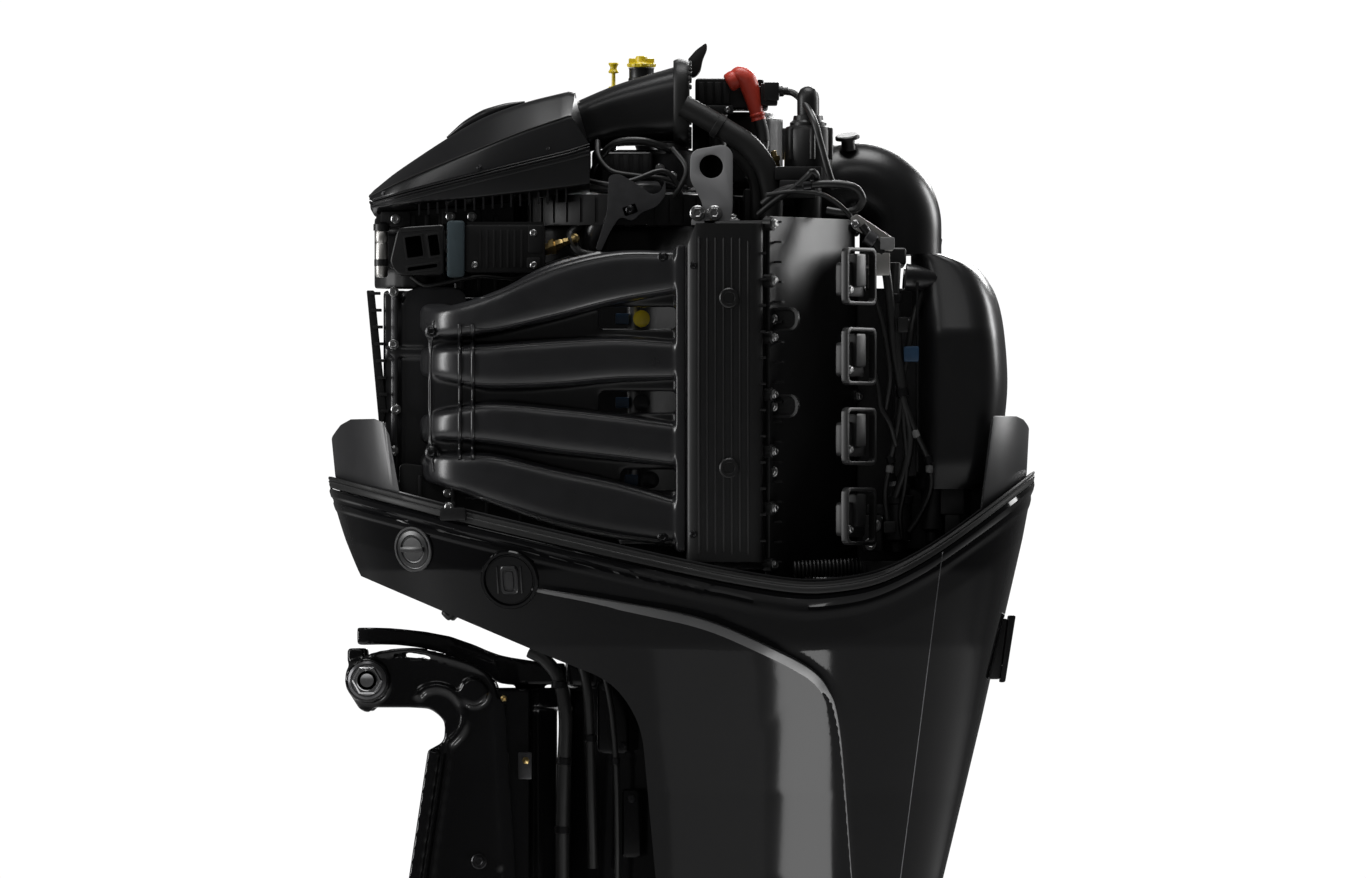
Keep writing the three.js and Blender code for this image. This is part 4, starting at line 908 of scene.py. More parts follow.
add("trunk_hook", bevelled(prism("y", [(*p, 5) for p in tip], -26, 26), 2.5, 2, 50), "rubber")

# ---------------------------------------------------------------- fillers and dipstick

neck = tube([(271, 150, 846), (271, 150, 790), (284, 160, 740), (350, 188, 704), (420, 200, 690),
    (438, 204, 653)], 13, 20)
top = lathe((271, 150, 830), UP, [(13, 0), (16.6, 2), (17.4, 6), (17.4, 12), (16.4, 13),
    (16.4, 24), (17, 25), (17, 26), (0, 26)], 36)
clamp = lathe((271, 150, 812), UP, [(12, 0), (14.6, 0.6), (14.6, 7.4), (12, 8)], 28)
add("filler_neck_skin", [neck, top, clamp], "moulded", 40, ("oil_filler_neck",))
grips = []
for a in circle(12):
    grips.append(lathe((271 + 17.2 * math.cos(a), 150 + 17.2 * math.sin(a), 858), UP,
        [(2, 0), (2, 3.4), (1, 4.2), (0, 4.2)], 10))
cap = pooled(
    lathe((271, 150, 857), UP, [(17.6, 0), (18, 1.2), (18, 4), (16.8, 5.4), (9, 6), (8, 7),
        (7.6, 14), (6, 15), (0, 15)], 40),
    soft(254, 288, 146.6, 153.4, 861, 869, 1.6, 2),
    *grips)
add("filler_cap_skin", cap, "yellow", 36, ("oil_filler_cap",), body="filler_cap")
stick = pooled(
    lathe((234, 166, 823), UP, [(6.5, 0), (6.8, 1), (6.8, 8), (6.2, 9), (3, 9.6), (2.7, 12),
        (2.5, 26), (3, 28), (0, 28)], 24),
    lathe((234, 166, 849), UP, [(0, 0), (6.5, 1), (7, 3), (5, 6), (4.4, 8), (5, 10), (7, 13),
        (6.5, 14.6), (0, 15)], 24),
    tube([(234, 166, 562), (234, 166, 700), (234, 166, 826)], 2.4, 10, smooth=False))
add("dipstick_handle", stick, "yellow", 40, ("dipstick",), body="dipstick")

# ---------------------------------------------------------------- boxes ahead of the plenum


def slab(x0, x1, z0, z1, y_out, depth, turn=0.0, round_by=4, bevel=1.5, side=-1):
    """A rounded panel on the side of the engine, leaning by an angle about its middle."""
    c, s = math.cos(math.radians(turn)), math.sin(math.radians(turn))
    mx, mz = (x0 + x1) / 2, (z0 + z1) / 2
    corners = [((x - mx) * c - (z - mz) * s + mx, (x - mx) * s + (z - mz) * c + mz, round_by)
        for x, z in ((x0, z0), (x1, z0), (x1, z1), (x0, z1))]
    part = prism("y", corners, *span(side, y_out, y_out - depth), 4)
    return bevelled(part, bevel, 2, 40)


ecu = [slab(41, 146, 578, 641, 163, 37, round_by=5, bevel=2.5)]
for i in range(7):
    ecu.append(slab(60 + 9 * i, 63 + 9 * i, 585, 634, 164.6, 3, round_by=1, bevel=0.5))
ecu.append(slab(122, 140, 584, 598, 165, 3, round_by=3, bevel=0.8))
ecu.append(slab(124, 142, 604, 640, 164.8, 4, round_by=3, bevel=0.8))
ecu.append(block(44, 144, -150, -130, 636, 645))
add("control_unit_skin", ecu, "moulded", 34, ("engine_control_unit",))
bolts("control_unit_bolts", [(131, -165, 630), (131, -165, 588), (54, -165, 588)], "bolt", 3.6)
add("control_unit_plug", [slab(18, 41, 572, 646, 171, 44, round_by=5, bevel=3)], "slate")
add("control_unit_plug_ribs", [slab(16.5, 19, 580 + 12 * i, 586 + 12 * i, 170, 30, round_by=1,
    bevel=0.5) for i in range(5)], "moulded")

relay = [bevelled(prism("y", [(-57, 590, 8), (-46, 637, 9), (14, 641, 5), (14, 575, 5),
    (-46, 575, 8)], -169, -83, 5), 4, 3, 40)]
for x0, x1, z0, z1 in ((-38, -12, 596, 628), (-8, 10, 598, 630), (-36, 8, 580, 590)):
    frame_line = carve(slab(x0, x1, z0, z1, 169.7, 4, 8, 3, 0.5), slab(x0 + 2.5, x1 - 2.5,
        z0 + 2.5, z1 - 2.5, 174, 5, 8, 2, 0.1))
    relay.append(frame_line)
relay.append(slab(-44, 10, 633, 638, 170, 60, 4, 2, 1))
relay.append(slab(-52, -46, 584, 630, 168, 70, -13, 2, 1))
add("relay_box_skin", relay, "moulded", 34, ("relay_box",))

# small fuel filter on the bow end, with its head and strap
add("fuel_filter", lathe((-69, -96, 573), UP, [(2, 0), (7, 1), (8.5, 4), (8.5, 44), (7.5, 46),
    (8.5, 48), (8.5, 60), (6, 63), (6, 69), (0, 69)], 28), "alloy", 40)
add("fuel_filter_strap", [
    lathe((-69, -96, 588), UP, [(8, 0), (9.4, 0.5), (9.4, 9), (8, 9.5)], 28),
    lathe((-69, -96, 634), UP, [(8, 0), (10.5, 1), (10.5, 9), (6, 12), (0, 12)], 28),
    block(-69, -40, -100, -92, 590, 596)], "moulded")
brass = pooled(
    lathe((156, -150, 612), (0.9, -0.3, 0.35), [(8, -12), (8, -2), (11, -2), (11, 5), (7, 6),
        (7, 13), (5, 16), (6, 18), (4, 24), (0, 24)], 6),
    lathe((182, -158, 622), (0.9, -0.3, 0.35), [(4, 0), (6.5, 1), (6.5, 6), (3, 9), (0, 9)], 18))
add("fuel_fitting", brass, "brass", 34)

# curved intake elbow with a blade-like fin, behind the control unit
elbow = tube([(206, -120, 596), (214, -128, 632), (232, -132, 662), (262, -128, 680),
    (292, -112, 686)], [15, 17, 19, 17, 14], 20)
add("elbow_pipe", elbow, "satin")
fin = [(212, 609, 3), (220, 634, 10), (227, 656, 10), (228, 682, 8), (229, 705, 6), (243, 707, 8),
    (266, 694, 14), (286, 679, 8), (297, 684, 4), (303, 699, 4), (304, 680, 8), (292, 664, 8),
    (272, 657, 6), (260, 645, 6), (244, 652, 8), (232, 634, 8), (219, 606, 3)]
add("elbow_fin", bevelled(prism("y", fin, -172, -146, 5), 5, 3, 40), "plate", 40)
add("elbow_clip", [
    slab(246, 268, 652, 668, 172, 24, 20, 4, 2),
    slab(226, 238, 640, 664, 170, 20, -30, 4, 2)], "moulded")
bolts("elbow_bolts", [(257, -172.5, 660)], "dark_bolt", 4.5)

# thin stay that leans along the bow end of the plenum
add("plenum_stay", bevelled(prism("y", [(-88, 556, 2), (-78, 556, 2), (-62, 400, 2), (-66, 384, 2),
    (-72, 384, 2)], -120, -96), 1.2), "moulded", 34)
add("plenum_stay_ribs", [soft(-84 + 16 * (556 - z) / 172, -70 + 12 * (556 - z) / 172, -124, -118,
    z, z + 4, 0.8) for z in range(396, 552, 22)], "moulded")
cast_node("intake_plenum", 3.2, "satin", 4, 0.5, [
    prism("y", rect(-52, -46, 552, 306), -133, 133),
    prism("y", rect(-60, 6, 480, 470, 6), -132, 132)])
bolts("plenum_bolts", [(x, -133, z) for x, z in ((-52, 554), (-52, 485), (-52, 346), (-49, 400))],
    "bolt", 5.2)
cast_node("throttle_body", 2.6, "cast", 4, 0.5)

# flywheel cover and what stands on it, under the trunk
cover = [
    lathe((CRANK_X, 0, 686), UP, [(90, 0), (102, 0), (104, 3), (101, 9), (80, 14), (40, 17),
        (0, 17)], 64),
    lathe((312, -66, 690), UP, [(18, 0), (30, 2), (31, 6), (31, 46), (28, 50), (20, 52), (18, 60),
        (8, 62), (0, 62)], 32),
    soft(218, 286, -98, -58, 696, 738, 5, 3),
    soft(206, 300, 10, 96, 696, 744, 8, 3),
    soft(246, 330, -50, 10, 700, 732, 5, 3)]
for i in range(5):
    cover.append(soft(222 + 13 * i, 229 + 13 * i, -101, -96, 700, 734, 1))
add("flywheel_cover", cover, "cast", 34)
bolts("flywheel_cover_bolts", [((CRANK_X + 92 * math.cos(a), 92 * math.sin(a), 695), (0, 0, 1))
    for a in (0.4, 2.0, 3.2, 4.2)] + [((296, -99, 716), (0, -1, 0)), ((312, -98, 706),
    (0, -1, 0))], "bolt", 5, along=None)

# shield round the flywheel, the tray under the bow end of the air box and the block below it
shield = [[(CRANK_X + r * math.cos(a), r * math.sin(a), z) for r, z in ((151, 641), (154, 641),
    (154, 681), (151, 681))] for a in np.linspace(0, 2 * np.pi, 97)]
guard = [skin(shield, caps=False)]
for a in circle(48):
    spoke = [(CRANK_X + r * math.cos(a + t), r * math.sin(a + t)) for r, t in ((153, -0.008),
        (156, -0.008), (156, 0.008), (153, 0.008))]
    guard.append(prism("z", spoke, 645, 677))
guard.append(soft(405, 446, -84, 60, 636, 690, 5, 3))
add("flywheel_shield", guard, "moulded", 34)
well = prism("z", [(-25 + 58 * math.cos(a), 58 * math.sin(a)) for a in circle(48)], 630, 680)
tray = [
    bevelled(carve(prism("y", [(-76, 637), (104, 637), (104, 672), (49, 667), (-40, 660),
        (-76, 656)], -92, 92), well), 3, 2, 40),
    soft(-70, -30, -98, -66, 640, 660, 3),
    soft(10, 62, -104, -66, 642, 664, 3)]
for i in range(9):
    tray.append(soft(-66 + 18 * i, -60 + 18 * i, -96, -90, 638, 655, 1))
tray.append(soft(26, 150, -78, 78, 536, 612, 5, 3))
for i in range(5):
    tray.append(soft(34 + 22 * i, 40 + 22 * i, -84, -76, 542, 606, 1.5))
add("air_box_tray", tray, "moulded", 34)
bolts("air_box_tray_bolts", [(22, -104.5, 653), (50, -104.5, 653), (-50, -98.5, 650)], "bolt", 5)

# ---------------------------------------------------------------- top of the powerhead

eye = carve(prism("y", [(335, 700, 8), (336, 738, 12), (380, 746, 12), (391, 736, 10),
    (391, 662, 6), (387, 641), (352, 641), (352, 668, 8)], -160, -148, 5),
    prism("y", [(363 + 15.5 * math.cos(a), 717 + 15.5 * math.sin(a)) for a in circle(32)], -170,
    -140))
foot = block(337, 400, -160, -128, 640.5, 648)
add("lifting_eye_plate", [bevelled(eye, 1.6, 2, 50), bevelled(foot, 1.5)], "grey", 34,
    ("lifting_eye",))
bolts("lifting_eye_bolts", [((345, -161, 656), (0, -1, 0)), ((367, -161, 656), (0, -1, 0)),
    ((388, -144, 648), (0, 0, 1))], "bolt", 8, along=None)

cast_node("alternator", 2.6, "cast", 3, 0.5)
fins = [block(398 + 40 * math.cos(a) - 1.2, 398 + 40 * math.cos(a) + 1.2,
    66 + 40 * math.sin(a) - 9, 66 + 40 * math.sin(a) + 9, 786, 792) for a in circle(24)]
add("alternator_fins", fins, "cast")

tray = [bevelled(prism("y", [(342, 797, 4), (342, 836, 5), (392, 836, 4), (392, 826, 3),
    (438, 826, 5), (438, 797, 4)], -44, 92, 4), 2.5, 3, 40)]
for i in range(4):
    tray.append(soft(346 + 11 * i, 354 + 11 * i, -52, -40, 801, 831, 1.2))
    tray.append(soft(398, 432, -34 + 26 * i, -16 + 26 * i, 824, 835, 2))
tray.append(soft(428, 450, -66, -30, 800, 829, 2.5))
tray.append(soft(348, 392, -70, -44, 788, 800, 2.5))
tray.append(lathe((372, -58, 764), UP, [(11, -24), (11, 20), (13, 22), (13, 30), (0, 31)], 24))
add("fuse_box_skin", tray, "moulded", 34, ("fuse_box",))
bolts("fuse_box_bolts", [(444, -67, 822), (352, -71, 794), (384, -71, 794)], "bolt", 3)

boot = pooled(
    tube([(392, -60, 836), (400, -60, 839), (409, -60, 834), (414, -60, 822), (419, -60, 804),
        (424, -60, 784)], [9, 12.5, 13, 12, 10, 8.5], 24, 8),
    lathe((392, -60, 833), (-0.85, 0, -0.5), [(12, -5), (13, 0), (12.4, 7), (10, 9), (0, 9)], 26),
    lathe((423, -60, 790), (0.24, 0, -1), [(8.8, 0), (10, 1), (10, 4), (8.8, 5), (8.8, 7),
        (9.6, 8), (9.6, 10), (0, 10)], 24))
add("terminal_boot_skin", boot, "red", 50, ("terminal_boot",))
add("battery_lead", tube([(424, -60, 786), (429, -62, 770), (432, -66, 748), (424, -80, 724),
    (410, -90, 700)], 7.5, 14), "wire")
add("battery_lead_tape", tube([(426, -61, 780), (430, -63, 766), (431.5, -65, 752)], 8.6, 14),
    "rubber")
add("breather_hose_skin", [
    tube([(326, -112, 798), (352, -112, 784), (382, -112, 766), (412, -112, 746), (434, -112, 716),
        (443, -112, 680), (443, -112, 649)], 14.5, 24, 10),
    lathe((372, -112, 771.5), (0.85, 0, -0.53), [(15, -5), (16.6, -4), (16.6, 4), (15, 5)], 28)],
        "rubber", 50, ("breather_hose",))
add("breather_hose_inner", tube([(388, -92, 744), (412, -92, 722), (424, -92, 692),
    (424, -92, 650)], 11, 18), "rubber")
add("alternator_plug", [
    soft(432, 452, -78, -58, 806, 830, 2),
    lathe((452, -68, 818), (1, 0, 0.05), [(7, 0), (7, 5), (5, 7), (5, 12), (0, 12)], 18)],
        "moulded")

# ---------------------------------------------------------------- aft end of the powerhead

canister = [(18, -82), (18, -24), (30, -20), (31.5, -16), (31.5, 50), (29, 55), (24, 57), (24, 61),
    (20, 64), (19, 70), (14.5, 71), (14.5, 92), (13.4, 99), (10, 105), (5, 108), (0, 109)]
add("vent_canister_skin", [
    lathe((490, -86, 722), UP, [(r, h - 6.5) for r, h in canister], 40),
    *[lathe((490 + 31 * math.cos(a), -86 + 31 * math.sin(a), 768), UP, [(4, -40), (4, 0), (3, 1.4),
        (0, 1.4)], 12) for a in (-0.4, -1.4, -2.4, 2.9)]], "moulded", 40, ("vent_canister",))

ELBOW_X, ELBOW_Z, BEND, BORE = 554.0, 642.0, 58.0, 54.0
arc = [(ELBOW_X + BEND * math.cos(t), 0, ELBOW_Z + BEND * math.sin(t))
    for t in np.radians(np.linspace(128, 0, 13))]
pipe = tube([(462, 0, 640), (482, 0, 672), *arc, (612, 0, 620), (612, 0, 605)],
    [42, 50, *[BORE] * 15], 56, 4)
add("rear_elbow_skin", pipe, "shell", 50, ("rear_air_duct",))
add("elbow_cap", lathe((543, -34, 750), (-0.12, -0.25, 1), [(9, -8), (9, 6), (16, 7), (16, 11),
    (14, 12.5), (0, 12.5)], 26), "moulded")
add("elbow_tab", bevelled(prism("y", [(655, 628), (663, 630), (667, 626), (664, 603), (657, 603)],
    -8, 8), 1.2), "moulded")
add("elbow_sensor", [
    lathe((449, -72, 716), (-0.2, 0, 1), [(6, -10), (6, 10), (8, 11), (8, 17), (0, 18)], 6),
    lathe((449, -72, 716), (-0.2, 0, 1), [(4, 16), (4, 24), (2, 25), (0, 25)], 14)], "brass", 34)

COVER_FRONT = 626
# Height and stern end of the rear cover.
COVER = curve_points([(296, 722), (310, 732), (360, 744), (430, 752), (500, 748), (545, 739),
    (575, 723), (592, 704), (601, 680), (604, 668)], 6)
rings = []
for z, back in COVER:
    half = 162 - 40 * max(0.0, (z - 500) / 103)
    half -= 10 * max(0.0, (330 - z) / 34)
    rings.append(level(z, COVER_FRONT, back, half, 3.6, 64))
cover = [skin(rings), soft(412, 640, -12, 12, 440, 470, 2)]
cover.append(lathe((617, -128, 573), (1, 0.05, -0.08), [(18, 0), (17, 14), (12.5, 30), (6.5, 43),
    (2, 48), (0, 49)], 28))
cover.append(lathe((617, 128, 573), (1, -0.05, -0.08), [(18, 0), (17, 14), (12.5, 30), (6.5, 43),
    (2, 48), (0, 49)], 28))
for side, _ in SIDES:
    seam = [(632, side * 150, z) for z in np.linspace(318, 566, 12)]
    cover.append(tube(seam, 2.0, 8, smooth=False))
    cover.append(lathe((716, side * 132, 466), (0.6, side, 0), [(5, -4), (5, 2), (3.5, 3), (0, 3)],
        16))
add("rear_cover_skin", cover, "shell", 40, ("rear_cover",))

# pumps, filters and their stays in the well below the rear cover
well = [
    soft(588, 728, -96, 96, 214, 300, 10, 3),
    soft(552, 632, -60, 60, 196, 560, 6, 3),
    soft(600, 640, -112, -60, 310, 520, 8, 3),
    soft(600, 640, 60, 112, 310, 520, 8, 3),
    soft(560, 618, -120, 120, 590, 612, 4, 3)]
for x, y, r, low, high in ((606, -118, 19, 226, 306), (652, -122, 15, 240, 330),
        (606, 118, 19, 226, 306), (690, -104, 12, 246, 318)):
    well.append(lathe((x, y, low), UP, [(r * 0.5, -12), (r * 0.6, 0), (r, 4),
        (r, (high - low) * 0.62), (r * 1.12, (high - low) * 0.64), (r * 1.12, (high - low) * 0.76),
        (r * 0.9, (high - low) * 0.78), (r * 0.9, high - low - 6), (r * 0.5, high - low),
        (0, high - low)], 26))
add("aft_well_units", well, "cast", 34)
bolts("aft_well_bolts", [(x, y, z) for x, y, z in ((577, -141, 248), (571, -141, 224),
    (640, -113, 500), (588, -97, 262))], "bolt", 6.5)
add("aft_stay", [
    soft(560, 586, -141, -120, 214, 262, 3),
    soft(566, 600, -130, -112, 262, 276, 3)], "cast")

# metal coupling and plugs at the top of the port bank
coupling = [
    bevelled(prism("y", [(544, 650, 3), (553, 655, 3), (602, 622, 3), (600, 606, 2), (582, 606, 2),
        (578, 618, 2), (548, 636, 3)], -176, -160), 2),
    soft(568, 596, -182, -170, 574, 604, 2.5)]
add("coupling_plate", coupling, "alloy", 34)
add("coupling_plug", [
    soft(583, 602, -186, -174, 608, 624, 2),
    soft(596, 610, -150, -138, 580, 592, 2)], "tape")
bolts("coupling_bolts", [(551, -177, 641), (566, -177, 633)], "bolt", 4.5)
add("coupling_collar", lathe((571, -178, 622), (0.8, 0, -0.55), [(9, -7), (10, -6), (10, 6),
    (9, 7), (0, 7)], 22), "plate")
top_plate = [soft(446, 508, -128, -96, 700, 718, 2.5), soft(452, 500, -140, -120, 676, 700, 3)]
add("hose_stay", top_plate, "cast")

# ---------------------------------------------------------------- loom, leads and hoses

LEADS = {
    "sensor_lead": (4.6, [(460, -68, 818), (472, -72, 815), (486, -96, 800), (498, -124, 776),
                          (507, -132, 744), (515, -136, 715), (524, -134, 688)]),
    "fuel_hose_long": (5.2, [(430, -150, 668), (452, -158, 684), (480, -166, 691),
                             (516, -170, 694), (548, -170, 690), (560, -166, 676),
                             (554, -160, 662), (536, -156, 657), (514, -152, 660)]),
    "fuel_hose_short": (4.2, [(424, -150, 654), (446, -158, 672), (470, -166, 688),
                              (488, -170, 704), (494, -172, 710), (500, -168, 706),
                              (502, -160, 696)]),
    "vacuum_hose": (3.2, [(436, -156, 680), (470, -168, 684), (504, -172, 681),
                          (528, -172, 668), (544, -172, 652), (552, -168, 640)]),
    "coil_loom": (6.0, [(560, -176, 640), (586, -176, 600), (596, -172, 540), (600, -168, 480),
                        (612, -164, 420), (622, -156, 372), (618, -150, 330), (604, -140, 286)]),
    "loom_branch_a": (4.0, [(612, -164, 424), (606, -162, 380), (596, -154, 330),
                            (590, -146, 290), (594, -140, 250)]),
    "loom_branch_b": (4.0, [(615, -164, 410), (630, -160, 370), (646, -154, 334),
                            (650, -148, 298), (636, -140, 262), (622, -134, 240)]),
    "loom_branch_c": (3.4, [(613, -164, 416), (614, -160, 380), (618, -154, 340),
                            (616, -148, 300), (610, -140, 264), (612, -134, 232)]),
    "loom_branch_d": (3.2, [(572, -172, 560), (584, -178, 520), (592, -178, 480),
                            (596, -176, 440), (590, -170, 400)]),
    "loom_branch_e": (3.2, [(570, -170, 466), (580, -178, 430), (584, -178, 402),
                            (596, -176, 380), (604, -170, 352)]),
    "loom_up": (7.0, [(604, -150, 590), (602, -160, 540), (606, -166, 480), (612, -164, 424)]),
    "drain_hose": (5.0, [(640, -120, 560), (628, -140, 520), (618, -150, 470), (610, -150, 430)]),
    "plenum_lead": (3.0, [(-30, -150, 574), (-10, -146, 562), (20, -148, 566), (60, -156, 574),
                          (110, -150, 572), (150, -146, 590), (190, -140, 602)]),
    "starter_lead": (5.0, [(206, -70, 700), (214, -90, 724), (236, -110, 748), (270, -116, 752),
                           (300, -104, 744), (312, -90, 738)]),
    "trunk_drain": (4.0, [(214, -96, 752), (216, -110, 730), (232, -118, 712), (262, -118, 706),
                          (300, -110, 702), (330, -104, 690)]),
    "flywheel_lead": (3.4, [(200, -120, 700), (232, -140, 694), (262, -140, 700),
                            (300, -132, 712), (320, -128, 690), (326, -128, 655)]),
    "oil_lead": (3.6, [(312, -120, 742), (330, -134, 716), (322, -140, 690), (306, -134, 668)]),
    "fuel_feed": (6.0, [(190, -130, 640), (178, -146, 626), (190, -152, 606), (214, -150, 600)]),
}
for lead, (radius, path) in LEADS.items():
    add(lead, tube(path, radius, 12, 8), "wire", 60)
clips, bands = [], []
for at, along, r in (((488, -167, 692), (1, 0, 0.1), 7.4), ((478, -166, 690), (1, 0, 0.1), 6.4),
        ((612, -164, 422), (0.2, 0, -1), 8.5), ((597, -154, 334), (0.3, 0, -1), 6),
        ((647, -154, 334), (0.3, 0, -1), 6), ((603, -161, 545), (0, 0, 1), 8.4)):
    clips.append(lathe(at, along, [(r - 1.5, -6), (r, -5), (r, 5), (r - 1.5, 6)], 20))
for at, along, r in (((596, -153, 322), (0.1, 0, 1), 5.2), ((648, -153, 322), (0.05, 0, 1), 5.2),
        ((630, -160, 368), (0.4, 0, -1), 4.8)):
    bands.append(lathe(at, along, [(r - 1, -5), (r, -4), (r, 4), (r - 1, 5)], 18))
add("loom_clips", clips, "dark_bolt")
add("loom_tapes", bands, "tape")
plugs = [soft(614, 634, -174, -160, 462, 482, 2.5)]
add("loom_plug_blue", plugs, "blue")
plugs = [
    soft(588, 604, -152, -138, 238, 254, 2.5),
    soft(662, 694, -140, -118, 262, 300, 4),
    soft(668, 688, -138, -120, 236, 264, 3),
    soft(606, 620, -178, -160, 500, 520, 2.5)]
add("loom_plugs", plugs, "moulded")
hose_rings = [lathe((x, -226, 190 + 0.05 * (x - 480)), (1, 0, 0.1), [(9, 0), (12, 1.6), (12, 3.2),
    (9, 4.8)], 20) for x in range(470, 560, 5)]
add("corrugated_hose", hose_rings, "rubber", 50)

add("adapter_tail", [
    soft(528, 618, -120, 120, 150, 203, 4, 2, 40),
    soft(540, 566, -128, -112, 176, 198, 3)], "moulded", 34)

# ---------------------------------------------------------------- fittings on the lower cowl

cowl_at = hit_surface(*[bpy.data.objects[f"{word}_cowl_skin"] for _, word in SIDES])


def cowl_normal(x, z, side):
    """Direction square to the cowl, from the skin a little way round the place."""
    e = 4.0
    y = [cowl_at(x + dx, z + dz, side) for dx, dz in ((e, 0), (-e, 0), (0, e), (0, -e))]
    n = np.array([-(y[0] - y[1]) / (2 * e), 1.0, -(y[2] - y[3]) / (2 * e)])
    n /= np.linalg.norm(n)
    return n[0], side * n[1], n[2]


def cowl_frame(x, z, side, lift=0.0):
    """A point over the cowl, the direction square to it there and two along it."""
    n = np.array(cowl_normal(x, z, side))
    return np.array([x, side * cowl_at(x, z, side), z]) + n * lift, n, *basis(n)[1:]


def on_skin(part, at, n, u, v):
    """A part whose coordinates are along u, v and n, set at a point."""
    return [tuple(at + u * a + v * b + n * c) for a, b, c in part[0]], part[1]


def on_cowl(x, z, side, profile, sides=48):
    """A turned shape that stands on the cowl."""
    at = np.array([x, side * cowl_at(x, z, side), z])
    return lathe(at, cowl_normal(x, z, side), profile, sides)


for side, word in SIDES:
    rings = on_cowl(-25, 217, side, [(30, -3), (30.5, 0.8), (29.5, 1.8), (27, 1.8), (26, 0.4),
        (25, 0.2), (24, 1.4), (19, 2.2), (18, 0.8), (16.5, 0.6), (15.5, 1.6), (0, 2.0)])
    bar = on_skin(soft(-19, 19, -3.2, 3.2, -1, 5.2, 1.2), *cowl_frame(-25, 217, side))
    add(f"{word}_slotted_cap", [rings, bar], "shell", 34)
    ring = on_cowl(101, 177, side, [(38, -3), (39, 1.2), (37.5, 3.4), (34.5, 3.4), (33.4, 1.2),
        (32.6, -0.4), (31.5, -0.4), (31, 0.8), (12, 1.0), (0, 1.0)], 56)
    add(f"{word}_latch_ring", ring, "gloss", 34)
    at, n, u, v = cowl_frame(101, 177, side, 0.6)
    stack = []
    for wide, tall, out in ((12, 19, 0), (12, 19, 2.2), (10.6, 17.6, 3.4), (8.4, 15, 3.4),
            (7.6, 14, 1.8), (6.2, 12.4, 1.8), (5.4, 11.6, 3.0), (0.4, 0.8, 3.2)):
        stack.append(oval(at + n * out, u * wide, v * tall, 4.5, 40))
    bars = [bevelled(on_skin(part, at, n, u, v), 0.5) for part in (block(-17, -15, -18, 18, 0, 2),
        block(15, 17, -18, 18, 0, 2))]
    add(f"{word}_latch_handle", [skin(stack), *bars], "shell", 34)
    add(f"{word}_cowl_seam", draped(cowl_at, side, [(668, 236), (664, 218), (649, 100), (632, -40),
        (611, -208), (597, -320)], 0.9, -0.1, 14), "plate", 60)
    add(f"{word}_cowl_drain", on_cowl(20, 133, side, [(8, -3), (8, 4), (6.5, 6), (0, 6)], 20),
        "rubber")
    foot_z = float(rim_height(30))
    add(f"{word}_rim_catch", [
        soft(10, 44, *span(side, 262, 274), foot_z + 2, foot_z + 19, 3),
        soft(16, 30, *span(side, 252, 266), foot_z + 12, foot_z + 27, 3)], "moulded")
    bolts(f"{word}_rim_bolts", [(22, side * 266, foot_z + 20)], "bolt", 4.5, along=(0, side, 0))

# bead along the crease, in a paint lighter than the cowl's: painted highlight for part of the
# crease's bright line, the rest from its high specular
for side, word in SIDES:
    path = np.array([(x, side * float(cowl_side(x, z)), z) for x, z in CREASE[6:-2]])
    along = np.gradient(path, axis=0)
    sizes = np.interp(np.linspace(0, 1, len(path)), [0, 0.05, 0.2, 0.45, 0.6, 0.75, 1],
        [0.5, 2.2, 4.4, 4.8, 3.4, 2.2, 1.6])
    rings = []
    for at, run, size in zip(path, along, sizes):
        n = np.array(cowl_normal(at[0], at[2], side))
        up = np.cross(n, run) * side
        up /= np.linalg.norm(up)
        if up[2] + up[0] < 0:
            up = -up
        rings.append([tuple(at + (n * a + up * b) * size) for a, b in ((-0.5, 1.15), (0.62, 0.1),
            (0.66, -0.05), (0.6, -0.25), (-0.4, -2.4), (-1.2, -0.6))])
    add(f"{word}_crease_bead", skin(rings), "edge", 30)

base = prism("y", [(734, 127, 3), (752.3, 127, 3), (741.8, 47, 3), (722, 47, 3)], -33, 33)
add("cowl_latch_base", bevelled(base, 2, 2), "moulded", 34)
latch = [
    bevelled(prism("y", [(753.5, 131, 2), (763, 131, 3), (749, 43, 3), (742, 43, 2)], -38, 38),
        2.5, 3, 40),
    soft(738, 749, -30, 30, 54, 66, 2)]
add("cowl_latch_plate", latch, "shell", 34, ("cowl_latch",), body="latch")

# ---------------------------------------------------------------- transom bracket and swivel

TILT_X, TILT_Z = -86, 46
CHEEK = 168.5

